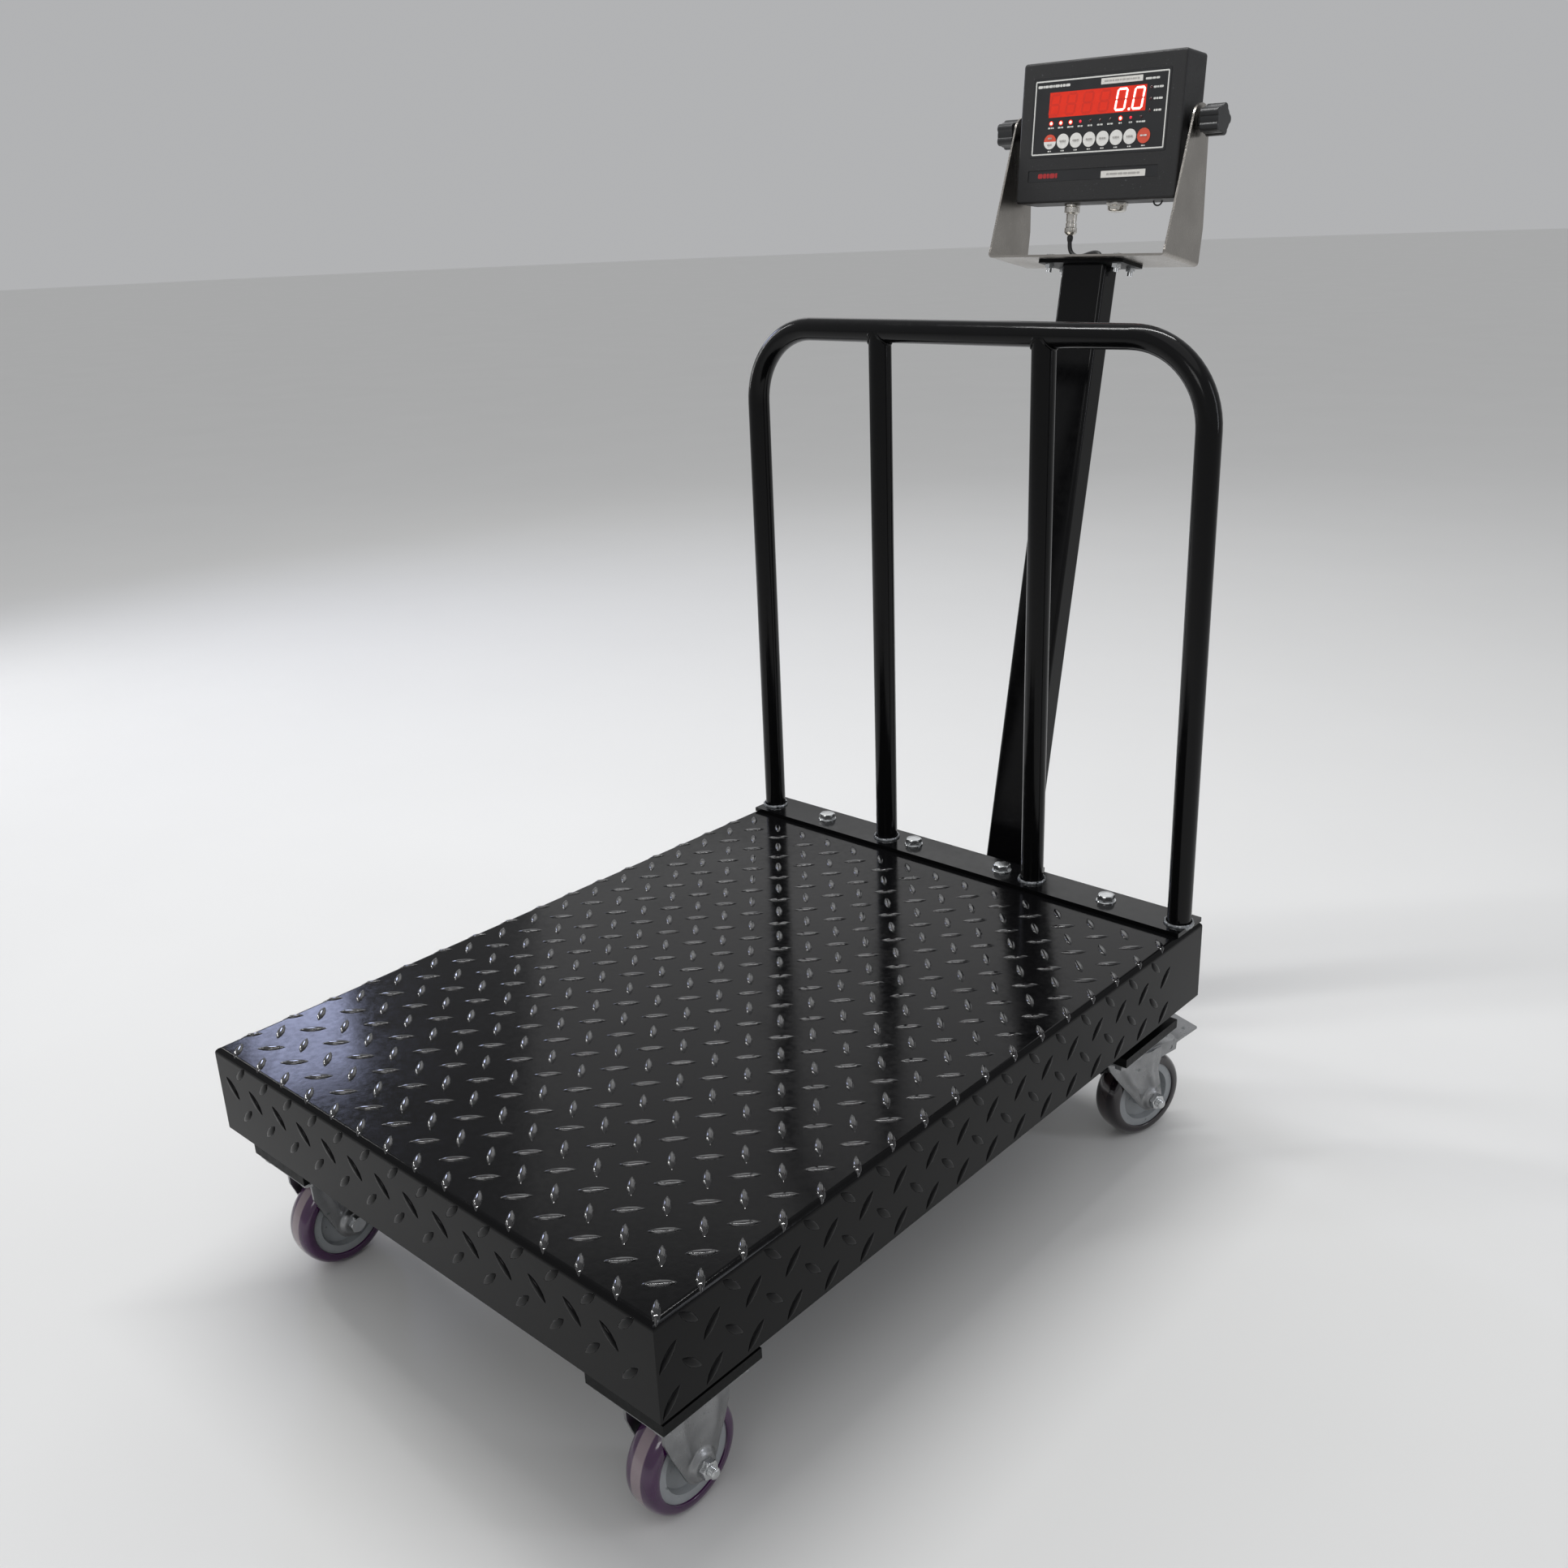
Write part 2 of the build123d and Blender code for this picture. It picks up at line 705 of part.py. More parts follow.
board_back = face_back + 16
with BuildPart() as circuit_board:
    with BuildSketch(on_face(board_back, v=case_mid)):
        Rectangle(178, 118)
        # gaps for the studs that come in from both sides
        with Locations((-89, -case_mid), (89, -case_mid)):
            Rectangle(20, 16, mode=Mode.SUBTRACT)
    extrude(amount=-1.6)
    with BuildSketch(on_face(board_back + 1.6, 40, 20)):
        Rectangle(22, 22)
    extrude(amount=-3)
    with BuildSketch(on_face(board_back + 1.6, -45, 25)):
        Rectangle(30, 18)
    extrude(amount=-8)
write(circuit_board, "circuit_board")

with BuildPart() as battery:
    with BuildSketch(on_face(face_back + 27, 30, -38)):
        RectangleRounded(76, 38, 3)
    extrude(amount=-15)
write(battery, "battery")

with BuildPart() as pivot_spacers:
    for side in (-1, 1):
        start = side * case_w / 2
        with BuildSketch(Plane(origin=(start, pivot.Y, pivot.Z), z_dir=(side, 0, 0))):
            Circle(spacer_r)
            Circle(stud_r + run_clear, mode=Mode.SUBTRACT)
        extrude(amount=bracket_half - bracket_t - gap - case_w / 2)
write(pivot_spacers, "pivot_spacers")

with BuildPart() as panel_sockets:
    with BuildSketch(on_case(-case_down, socket_x)):
        Circle(socket_hole_r + 1.5)
    extrude(amount=-socket_flange_t)
    with BuildSketch(on_case(-case_down, socket_x)):
        Circle(socket_hole_r - 0.1)
    extrude(amount=8)
    with BuildSketch(on_case(-case_down, spare_x)):
        RegularPolygon(12, 6, major_radius=False)
    extrude(amount=-4)
    with BuildSketch(on_case(-case_down - 4, spare_x)):
        Circle(10)
    extrude(amount=-4)
    with BuildSketch(on_case(-case_down, spare_x)):
        Circle(socket_hole_r - 0.1)
    extrude(amount=8)
write(panel_sockets, "panel_sockets")

plug_top = -case_down - socket_flange_t
collar_top = plug_top - grip_l - waist_l
with BuildPart() as cable_plug:
    with BuildSketch(on_case(plug_top, socket_x)):
        Circle(plug_grip_r)
    extrude(amount=-grip_l)
    with BuildSketch(on_case(plug_top - grip_l, socket_x)):
        Circle(plug_grip_r - 1.6)
    extrude(amount=-waist_l)
    with BuildSketch(on_case(collar_top, socket_x)):
        Circle(plug_grip_r - 0.8)
    extrude(amount=-(plug_length - socket_flange_t - grip_l - waist_l), taper=18)
write(cable_plug, "cable_plug")

# Keys: a cap that stands a little proud of the panel, on a plunger through the case wall
for i in range(key_count):
    with BuildPart() as key:
        x = key_first_x + i * key_pitch
        with BuildSketch(on_face(face_back - key_t - 0.1, x, key_v)):
            Circle(key_r)
        extrude(amount=-key_t)
        with BuildSketch(on_face(face_back - 0.1, x, key_v)):
            Circle(plunger_r)
        extrude(amount=-case_wall - 1.5)
    write(key, f"key_{i + 1}")

# Clamp knobs: five lobes, with a moulded-in stud that reaches through bracket, spacer and case
for side, name in ((-1, "clamp_knob_left"), (1, "clamp_knob_right")):
    with BuildPart() as knob:
        start = side * (bracket_half + gap)
        seat = Plane(origin=(start, pivot.Y, pivot.Z), x_dir=(0, 1, 0), z_dir=(side, 0, 0))
        with BuildSketch(seat):
            Circle(9)
        extrude(amount=5)
        with BuildSketch(seat.offset(5)):
            Circle(knob_r - 3)
            with PolarLocations(knob_r - 5.5, 5):
                Circle(5.5)
        extrude(amount=knob_length - 5)
        fillet(knob.faces().sort_by(Axis.X)[-1 if side > 0 else 0].edges(), 1.5)
        with BuildSketch(seat):
            Circle(stud_r)
        extrude(amount=-(bracket_half + gap - case_w / 2 + 8))
    write(knob, name)

# ---------------------------------------------------------------- cable
def shift(point):
    """A point of the route, given from the deck's middle, in the row's frame."""
    return (point[0], point[1] + deck_y, point[2])


cable_route = [
    (-39.0, 657.4, 937.7),
    (-39.2, 656.4, 928.6),
    (-35.2, 655.1, 920.8),
    (-27.2, 653.2, 917.2),
    (-17.6, 650.9, 917.6),
    (-8.2, 648.9, 920.2),
    (0.2, 646.9, 921.8),
    (7.0, 645.2, 921.2),
    (11.6, 643.4, 917.0),
    (14.2, 641.6, 910.6),
    (15.6, 639.6, 903.0),
    (16.2, 637.2, 893.8),
]
bend_radii = []
for before, corner, after in zip(cable_route, cable_route[1:], cable_route[2:]):
    into = Vector(*corner) - Vector(*before)
    out = Vector(*after) - Vector(*corner)
    turn = into.get_angle(out)
    bend_radii.append(0.45 * min(into.length, out.length) / tan(radians(turn / 2)))
print("cable radii", [round(r, 1) for r in bend_radii])

with BuildPart() as signal_cable:
    with BuildLine() as cable_line:
        FilletPolyline(*[shift(p) for p in cable_route], radius=bend_radii)
    with BuildSketch(Plane(origin=cable_line.line @ 0, z_dir=cable_line.line % 0)):
        Circle(cable_d / 2)
    sweep(path=cable_line.line)
cable_length = cable_line.wires()[0].length
round_section = Circle(cable_d / 2, mode=Mode.PRIVATE).area
print("cable length", round(cable_length, 1))
print("cable volume ratio", round(signal_cable.part.volume / round_section / cable_length, 4))
write(signal_cable, "signal_cable")


# ---------------------------------------------------------------- casters
def radial_plane(centre, axle):
    """A plane through the axle whose local X is the axle and whose local Y is up."""
    return Plane(origin=centre, x_dir=axle, z_dir=axle.cross(Vector(0, 0, 1)))


def write_wheel(name, centre, axle):
    """A grey hub with a recessed web on each side, and the tyre moulded round it."""
    section = radial_plane(centre, axle)
    with BuildPart() as hub:
        with BuildSketch(section):
            with BuildLine():
                Polyline(
                    (-19.7, axle_r + run_clear),
                    (19.7, axle_r + run_clear),
                    (19.7, 12),
                    (8, 15),
                    (8, 28),
                    (14, 30),
                    (14, hub_r),
                    (-14, hub_r),
                    (-14, 30),
                    (-8, 28),
                    (-8, 15),
                    (-19.7, 12),
                    close=True,
                )
            make_face()
        revolve(axis=Axis(centre, axle))
    write(hub, f"{name}_hub")
    with BuildPart() as tyre:
        with BuildSketch(section):
            with BuildLine():
                half = wheel_w / 2
                top = wheel_d / 2
                Line((-half, hub_r), (half, hub_r))
                Line((half, hub_r), (half, top - 8))
                Spline((half, top - 8), (6, top), tangents=((0, 1), (-1, 0)))
                Line((6, top), (-6, top))
                Spline((-6, top), (-half, top - 8), tangents=((-1, 0), (0, -1)))
                Line((-half, top - 8), (-half, hub_r))
            make_face()
        revolve(axis=Axis(centre, axle))
    write(tyre, f"{name}_tyre")


def leg_plane(origin, axle, side_offset):
    """The plane of a fork leg: local X towards the wheel's trailing side, local Y up."""
    ahead = Vector(0, 0, 1).cross(axle)
    return Plane(origin=origin + axle * side_offset, x_dir=ahead, z_dir=axle)


def axle_bolt(centre, axle, outward):
    """The axle bolt with its nut on the outer side."""
    half = fork_gap / 2 + fork_t
    seat = Plane(origin=centre - axle * outward * half, x_dir=(0, 0, 1), z_dir=-axle * outward)
    return hex_bolt(seat, axle_r, 2 * half + 12, 17, 6.4, 2 * half)


plate_low = caster_h - caster_plate_t
axle_z = wheel_d / 2

plate_bolts = []
for x, y in pad_spots:
    for hole_x, hole_y in caster_holes:
        seat = Plane(
            origin=(x + hole_x, deck_y + y + hole_y, plate_low), x_dir=(1, 0, 0), z_dir=(0, 0, -1)
        )
        plate_bolts.append(hex_bolt(seat, caster_bolt_r, caster_plate_t + pad_t - 1, 13, 5.3))
with BuildPart() as caster_bolts:
    add(plate_bolts)
write(caster_bolts, "caster_bolts")

# Rigid front casters: plate and two tapered legs in one pressing
axle_sets = []
for side in (-1, 1):
    middle = Vector(side * front_caster_x, deck_y + front_caster_y, axle_z)
    axle_sets.append(axle_bolt(middle, Vector(1, 0, 0), side))
with BuildPart() as front_axles:
    add(axle_sets)
write(front_axles, "front_axles")

for side, name in ((-1, "front_left"), (1, "front_right")):
    spot = (side * front_caster_x, front_caster_y)
    centre = Vector(spot[0], deck_y + spot[1], axle_z)
    across = Vector(1, 0, 0)
    with BuildPart() as fork:
        with BuildSketch(level(plate_low, *spot)):
            RectangleRounded(plate_w, plate_l, 6)
            with Locations(*caster_holes):
                Circle(caster_bolt_r + run_clear, mode=Mode.SUBTRACT)
        extrude(amount=caster_plate_t)
        for leg_x in (-fork_gap / 2 - fork_t, fork_gap / 2):
            with BuildSketch(leg_plane(Vector(centre.X, centre.Y, 0), across, leg_x)):
                with BuildLine():
                    Polyline(
                        (-37, plate_low + 0.5),
                        (37, plate_low + 0.5),
                        (36, 94),
                        (30, 77),
                        touch_point((0, axle_z), front_boss_r, (30, 77), -1),
                        touch_point((0, axle_z), front_boss_r, (-30, 77), 1),
                        (-30, 77),
                        (-36, 94),
                        close=True,
                    )
                make_face()
                with Locations((0, axle_z)):
                    Circle(front_boss_r)
                    Circle(axle_r + run_clear, mode=Mode.SUBTRACT)
            extrude(amount=fork_t)
    write(fork, f"{name}_fork")
    write_wheel(name, centre, across)

# Swivel rear casters with a foot brake
for side, name in ((-1, "rear_left"), (1, "rear_right")):
    turn = radians(rear_caster_turn) * side
    spot = (side * rear_caster_x, rear_caster_y)
    ahead = Vector(sin(turn), cos(turn), 0)
    across = Vector(cos(turn), -sin(turn), 0)
    swivel = Vector(spot[0], deck_y + spot[1], 0)
    centre = swivel + ahead * trail + Vector(0, 0, axle_z)

    with BuildPart() as swivel_plate:
        with BuildSketch(level(plate_low, *spot)):
            RectangleRounded(plate_w, plate_l, 6)
            with Locations(*caster_holes):
                Circle(caster_bolt_r + run_clear, mode=Mode.SUBTRACT)
        extrude(amount=caster_plate_t)
        with BuildSketch(level(plate_low, *spot)):
            Circle(crown_r)
        extrude(amount=-(plate_low - crown_top - gap - 4), taper=10)
        with BuildSketch(level(crown_top + gap + 4, *spot)):
            Circle(27)
        extrude(amount=-4)
        with BuildSketch(level(crown_top + 8, *spot)):
            Circle(kingpin_r)
        extrude(amount=-(8 + fork_t + gap + 4))
        with BuildSketch(level(crown_top - fork_t - gap, *spot)):
            Circle(10)
        extrude(amount=-5)
    write(swivel_plate, f"{name}_swivel_plate")

    with BuildPart() as fork:
        crown = Plane(origin=(swivel.X, swivel.Y, crown_top), x_dir=across, z_dir=(0, 0, 1))
        with BuildSketch(crown):
            with Locations((0, 16)):
                RectangleRounded(fork_gap + 2 * fork_t, 108, 8)
            Circle(crown_r)
            Circle(kingpin_r + run_clear, mode=Mode.SUBTRACT)
            # the slot that the brake pedal's spring sits in
            with Locations((0, 52)):
                SlotOverall(18, 7, rotation=0, mode=Mode.SUBTRACT)
        extrude(amount=-fork_t)
        for leg_x in (-fork_gap / 2 - fork_t, fork_gap / 2):
            with BuildSketch(leg_plane(swivel, across, leg_x)):
                with BuildLine():
                    Polyline(
                        (-30, crown_top - 1),
                        (69, crown_top - 1),
                        (68, 101),
                        (47, 98),
                        (43, 86),
                        touch_point((trail, axle_z), rear_boss_r, (43, 86), -1),
                        touch_point((trail, axle_z), rear_boss_r, (-12, 84), 1),
                        (-12, 84),
                        (-26, 103),
                        close=True,
                    )
                make_face()
                with Locations((trail, axle_z)):
                    Circle(rear_boss_r)
                    Circle(axle_r + run_clear, mode=Mode.SUBTRACT)
                with Locations((pedal_y, pedal_z)):
                    Circle(pedal_pin_r + run_clear, mode=Mode.SUBTRACT)
            extrude(amount=fork_t)
    write(fork, f"{name}_fork")

    axle_pieces = axle_bolt(centre, across, side)
    with BuildPart() as axle_set:
        add(axle_pieces)
    write(axle_set, f"{name}_axle")
    write_wheel(name, centre, across)

    # Pedal: a tongue behind the crown on a pin through the fork's sides
    with BuildPart() as pedal:
        pin = swivel + ahead * pedal_y + Vector(0, 0, pedal_z)
        pin_half = fork_gap / 2 + fork_t - 0.5
        with BuildSketch(Plane(origin=pin - across * pin_half, x_dir=ahead, z_dir=across)):
            Circle(pedal_pin_r)
        extrude(amount=2 * pin_half)
        with BuildSketch(Plane(origin=pin - across * pedal_w / 2, x_dir=ahead, z_dir=across)):
            with BuildLine():
                Polyline(
                    (-6, -3.5), (6, -3.5), (14, 0.5), (42, 8), (41.2, 11), (13, 3.5), (-6, 3.5),
                    close=True,
                )
            make_face()
        extrude(amount=pedal_w)
    write(pedal, f"{name}_pedal")
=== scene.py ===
"""Finish of a portable platform scale: tread lugs, casters, rail welds, indicator panel, cable and paint."""
import json
import math

import bpy
import numpy as np
from bpy.props import FloatProperty, FloatVectorProperty, PointerProperty
from bpy.types import Operator, Panel, PropertyGroup
from mathutils import Matrix, Vector


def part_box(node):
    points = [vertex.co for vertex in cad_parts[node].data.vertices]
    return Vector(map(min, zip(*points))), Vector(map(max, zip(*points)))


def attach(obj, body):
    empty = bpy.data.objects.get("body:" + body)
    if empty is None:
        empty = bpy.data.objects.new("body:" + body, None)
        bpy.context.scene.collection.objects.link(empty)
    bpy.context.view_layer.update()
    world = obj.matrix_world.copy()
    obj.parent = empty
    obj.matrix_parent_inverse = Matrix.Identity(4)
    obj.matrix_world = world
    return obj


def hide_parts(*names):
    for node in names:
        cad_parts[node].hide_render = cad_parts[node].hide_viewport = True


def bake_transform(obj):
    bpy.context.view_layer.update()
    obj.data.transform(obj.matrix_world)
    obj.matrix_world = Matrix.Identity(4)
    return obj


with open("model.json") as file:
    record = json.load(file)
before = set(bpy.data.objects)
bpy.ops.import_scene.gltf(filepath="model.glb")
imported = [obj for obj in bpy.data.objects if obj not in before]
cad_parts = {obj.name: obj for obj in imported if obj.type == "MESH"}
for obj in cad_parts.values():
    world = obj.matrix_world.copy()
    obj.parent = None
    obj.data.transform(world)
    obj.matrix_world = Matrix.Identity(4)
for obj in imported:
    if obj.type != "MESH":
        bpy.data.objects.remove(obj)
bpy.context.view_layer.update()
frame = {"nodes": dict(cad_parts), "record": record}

bl_info = {
    "name": "Platform Scale Finish",
    "version": (1, 0, 0),
    "blender": (4, 5, 0),
    "location": "3D View > Sidebar > Scale",
    "description": "Builds the fine pieces, finishes and stage of a portable platform scale",
    "category": "Object",
}

MM = 0.001
UP = Vector((0, 0, 1))
SIDES = (-1, 1)
JOINTS = {joint["name"]: joint for joint in frame["record"]["behaviour"]["joints"]}


# ---------------------------------------------------------------- places taken from the frame
def joint_point(name):
    return Vector(JOINTS[name]["pos_m"])


def joint_axis(name):
    return Vector(JOINTS[name]["axis"]).normalized()


DECK_LOW, DECK_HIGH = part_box("tread_deck")
DECK_MIDDLE = (DECK_LOW + DECK_HIGH) / 2
DECK_HALF = (DECK_HIGH - DECK_LOW) / 2
STRIP_LOW, STRIP_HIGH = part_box("rail_base_strip")
PIVOT = joint_point("indicator_tilt")
INWARD = joint_axis("key_1_press")          # into the indicator's face
OUTWARD = -INWARD
FACE_UP = Vector((1, 0, 0)).cross(INWARD)
PANEL_DEPTH = 22.7 * MM                     # the printed panel's front, ahead of the pivot


def on_face(x, v, proud=0.0):
    """A point on the indicator's printed panel: x to the right and v up from the pivot, in millimetres."""
    return PIVOT + Vector((x * MM, 0, 0)) + FACE_UP * (v * MM) + OUTWARD * (PANEL_DEPTH + proud * MM)


# ---------------------------------------------------------------- shapes as arrays
def skin(rings, loop=False):
    """A closed skin over rings of points, an array of rings x points x 3.

    Neighbouring rings are joined by quads. The last ring joins the first when loop is set, and
    otherwise each end ring is filled by a fan about its mean point. A negative volume, the sum of
    a.(b x c) / 6 over the faces' triangles, means that the faces look inwards, so they are turned.
    """
    rings = np.asarray(rings, float)
    count, around = rings.shape[:2]
    index = np.arange(count * around).reshape(count, around)
    step = np.roll(index, -1, axis=1)
    if loop:
        after, after_step = np.roll(index, -1, axis=0), np.roll(step, -1, axis=0)
        quads = np.stack([index, step, after_step, after], -1).reshape(-1, 4)
        points, fans = rings.reshape(-1, 3), np.zeros((0, 3), int)
    else:
        quads = np.stack([index[:-1], step[:-1], step[1:], index[1:]], -1).reshape(-1, 4)
        points = np.vstack([rings.reshape(-1, 3), rings[[0, -1]].mean(1)])
        low = np.full(around, count * around)
        fans = np.vstack([np.stack([step[0], index[0], low], -1),
                          np.stack([index[-1], step[-1], low + 1], -1)])
    triangles = np.vstack([quads[:, [0, 1, 2]], quads[:, [0, 2, 3]], fans])
    a, b, c = (points[triangles[:, k]] - points.mean(0) for k in range(3))
    if np.einsum("ij,ij->", a, np.cross(b, c)) < 0:
        quads, fans = quads[:, ::-1], fans[:, ::-1]
    return points, quads, fans


def placed(points, origin, x_dir, y_dir, z_dir):
    """Points given along three directions from an origin, as points of the row's frame."""
    return np.asarray(origin) + np.asarray(points) @ np.array([x_dir, y_dir, z_dir], float)


def circle(steps):
    """Angles once round a circle, the last one short of the first."""
    return np.linspace(0, 2 * np.pi, steps, endpoint=False)


def about(axis):
    """Two directions square to an axis, and then the axis itself."""
    axis = Vector(axis).normalized()
    side = axis.orthogonal().normalized()
    return side, axis.cross(side), axis


def turned(profile, origin, axis, steps=48, teeth=0, loop=False):
    """A profile of (along, radius, tooth depth) rows in millimetres carried round an axis.

    The radius at angle a is r + d |cos(teeth a / 2)|, so a tooth depth d above nought knurls it.
    """
    profile = np.asarray(profile, float)
    if profile.shape[1] == 2:
        profile = np.column_stack([profile, np.zeros(len(profile))])
    angle = circle(steps)
    radius = profile[:, 1:2] + profile[:, 2:3] * np.abs(np.cos(teeth * angle / 2))
    along = np.repeat(profile[:, :1], steps, axis=1)
    flat = np.stack([radius * np.cos(angle), radius * np.sin(angle), along], -1) * MM
    return skin(placed(flat, origin, *about(axis)), loop)


def hexagon(across, height, origin, axis, steps=48):
    """A hex head: radius across/2 / cos(a mod 60 - 30), cut by a 30 degree cone at its top rim."""
    angle = circle(steps)
    flats = across / 2 / np.cos(np.mod(angle, np.pi / 3) - np.pi / 6)
    level = np.array([0, 0.25, height - 1.4, height - 0.7, height - 0.2, height, height])
    cone = np.array([0.49, 0.6, 0.6, 0.55, 0.51, 0.47, 0.2]) * across
    radius = np.minimum(flats[None, :], cone[:, None])
    along = np.repeat(level[:, None], steps, axis=1)
    flat = np.stack([radius * np.cos(angle), radius * np.sin(angle), along], -1) * MM
    return skin(placed(flat, origin, *about(axis)))


def thread(radius, start, end, origin, axis, pitch=1.5):
    """A threaded stud: the radius falls by 0.3 mm (1 - cos(2 pi s / pitch)) along it."""
    along = np.arange(start, end, pitch / 4)
    waist = radius - 0.3 * (1 - np.cos(2 * np.pi * along / pitch))
    tip = np.array([[end, radius - 0.8], [end + 0.6, radius - 1.6]])
    return turned(np.vstack([np.column_stack([along, waist]), tip]), origin, axis, 24)


def plate(outline, depth, origin, x_dir, y_dir, round_over=0.0):
    """A flat plate: a closed outline in millimetres, raised by depth, its top edge drawn in a little."""
    outline = np.asarray(outline, float)
    centre = outline.mean(0)
    top = centre + (outline - centre) * (1 - round_over)
    layers = [np.column_stack([ring, np.full(len(ring), height)])
              for ring, height in ((outline, -0.1), (outline, depth * 0.6), (top, depth))]
    z_dir = Vector(x_dir).cross(Vector(y_dir))
    return skin(placed(np.array(layers) * MM, origin, x_dir, y_dir, z_dir))


def rounded(width, height, radius, steps=6):
    """The outline of a rounded rectangle: four quarter circles joined by straight sides."""
    quarter = np.linspace(0, np.pi / 2, steps)
    turn = np.concatenate([quarter + k * np.pi / 2 for k in range(4)])
    corner = np.repeat([[1, 1], [-1, 1], [-1, -1], [1, -1]], steps, axis=0)
    centre = corner * [width / 2 - radius, height / 2 - radius]
    return centre + radius * np.column_stack([np.cos(turn), np.sin(turn)])


def face_plate(x, v, outline, depth=0.15, proud=0.0, round_over=0.0):
    """A thin plate lying on the indicator's panel."""
    return plate(outline, depth, on_face(x, v, proud), Vector((1, 0, 0)), FACE_UP, round_over)


def make_piece(name, shapes, body, material, sharp=35.0, attribute=None):
    """One mesh of several closed shapes, with its place in its points, riding on a body of the frame."""
    starts = np.cumsum([0] + [len(points) for points, _, _ in shapes[:-1]])
    points = np.vstack([shape[0] for shape in shapes])
    quads = np.vstack([shape[1] + start for shape, start in zip(shapes, starts)])
    fans = np.vstack([shape[2] + start for shape, start in zip(shapes, starts)])
    mesh = bpy.data.meshes.new(name)
    mesh.from_pydata(points.tolist(), [], quads.tolist() + fans.tolist())
    mesh.polygons.foreach_set("use_smooth", np.ones(len(mesh.polygons), bool))
    mesh.set_sharp_from_angle(angle=math.radians(sharp))
    if attribute:
        layer = mesh.attributes.new(attribute[0], "FLOAT", "POINT")
        layer.data.foreach_set("value", np.ascontiguousarray(attribute[1], np.float32))
    mesh.materials.append(material)
    piece = bpy.data.objects.new(name, mesh)
    bpy.context.scene.collection.objects.link(piece)
    if body:
        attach(piece, body)
    return piece


# ---------------------------------------------------------------- materials
def linear(colour):
    """An sRGB hex colour such as #1a2b3c as linear red, green, blue and alpha."""
    value = np.array([int(colour[k:k + 2], 16) for k in (1, 3, 5)]) / 255
    curve = np.where(value <= 0.04045, value / 12.92, ((value + 0.055) / 1.055) ** 2.4)
    return (*curve.tolist(), 1.0)


def add(tree, kind, settings=None, links=None):
    """Adds a node, sets its settings and fills its inputs, each with a value or another node's output."""
    made = tree.nodes.new(kind)
    for name, value in (settings or {}).items():
        setattr(made, name, value)
    for name, value in (links or {}).items():
        if isinstance(value, bpy.types.NodeSocket):
            tree.links.new(value, made.inputs[name])
        else:
            made.inputs[name].default_value = value
    return made


def noise(tree, place, size, detail):
    """Noise whose features are that many millimetres across."""
    settings = {"Vector": place, "Scale": 1 / (size * MM), "Detail": detail}
    return add(tree, "ShaderNodeTexNoise", links=settings).outputs[0]


def ramp(tree, value, low, high, start=0.0, end=1.0):
    """Start below the low value, end above the high one, and a straight run between."""
    return add(tree, "ShaderNodeMapRange", links={
        "Value": value, "From Min": low, "From Max": high, "To Min": start, "To Max": end}).outputs[0]


def mixed(tree, share, first, second):
    """One colour going over to another by a share. Each is a value, a hex colour or a node's output."""
    first, second = (linear(tone) if isinstance(tone, str) else tone for tone in (first, second))
    return add(tree, "ShaderNodeMix", {"data_type": "RGBA"}, {0: share, 6: first, 7: second}).outputs[2]


def coated(name, tones, rough, patch, grain, relief, metallic=0.0, constants=None,
           stretch=(1, 1, 1), speck=None):
    """A surface with two tones in soft patches, roughness that wanders, and a grain's bump.

    patch and grain are sizes in millimetres, relief is the grain's depth in millimetres, stretch
    draws the grain out along an axis, and speck is (colour, size in mm, share) for dust or wear.
    Returns the material with its tree, shader, colour output and object coordinates.
    """
    material = bpy.data.materials.new(name)
    material.use_nodes = True
    tree = material.node_tree
    shader = tree.nodes["Principled BSDF"]
    shader.inputs["Metallic"].default_value = metallic
    for socket, value in (constants or {}).items():
        shader.inputs[socket].default_value = value
    place = add(tree, "ShaderNodeTexCoord").outputs["Object"]
    patches = noise(tree, place, patch, 5.0)
    colour = mixed(tree, patches, *tones)
    drawn = add(tree, "ShaderNodeMapping", links={"Vector": place, "Scale": stretch}).outputs[0]
    fine = noise(tree, drawn, grain, 3.0)
    if speck:
        shade, size, share = speck
        dots = noise(tree, place, size, 6.0)
        colour = mixed(tree, ramp(tree, dots, 1 - share, 1.06 - share), colour, shade)
    blend = add(tree, "ShaderNodeMix", links={0: 0.5, 2: patches, 3: fine})
    gloss = ramp(tree, blend.outputs[0], 0.35, 0.65, *rough)
    bump = add(tree, "ShaderNodeBump", links={"Height": fine, "Distance": relief * MM, "Strength": 1.0})
    tree.links.new(colour, shader.inputs["Base Color"])
    tree.links.new(gloss, shader.inputs["Roughness"])
    tree.links.new(bump.outputs[0], shader.inputs["Normal"])
    return material, tree, shader, colour, place


def deck_enamel(settings):
    # Black enamel sprayed on rolled tread plate: a wet gloss with orange peel 6 mm wide and a little dust.
    tones = ((*settings.enamel, 1), "#070708")
    return coated("sprayed_black_enamel", tones, (0.08, 0.18), 90, 6, 0.03,
                  constants={"IOR": 1.5, "Specular IOR Level": 0.11},
                  speck=("#131415", 9, 0.26))[0]


def lug_enamel(settings):
    # The deck's enamel on the lugs' crowns, which wheels and shoes have buffed to a harder gloss.
    tones = ((*settings.enamel, 1), "#08080a")
    return coated("buffed_enamel_on_lugs", tones, (0.07, 0.13), 30, 4, 0.01,
                  constants={"IOR": 1.5, "Coat Weight": 0.6, "Coat Roughness": 0.03})[0]


def tube_enamel(settings):
    # The same enamel on drawn steel tube: smoother, so highlights run the tube's whole length.
    tones = ((*settings.enamel, 1), "#060607")
    return coated("black_enamel_on_drawn_tube", tones, (0.10, 0.20), 60, 9, 0.02,
                  constants={"IOR": 1.5, "Specular IOR Level": 0.2})[0]


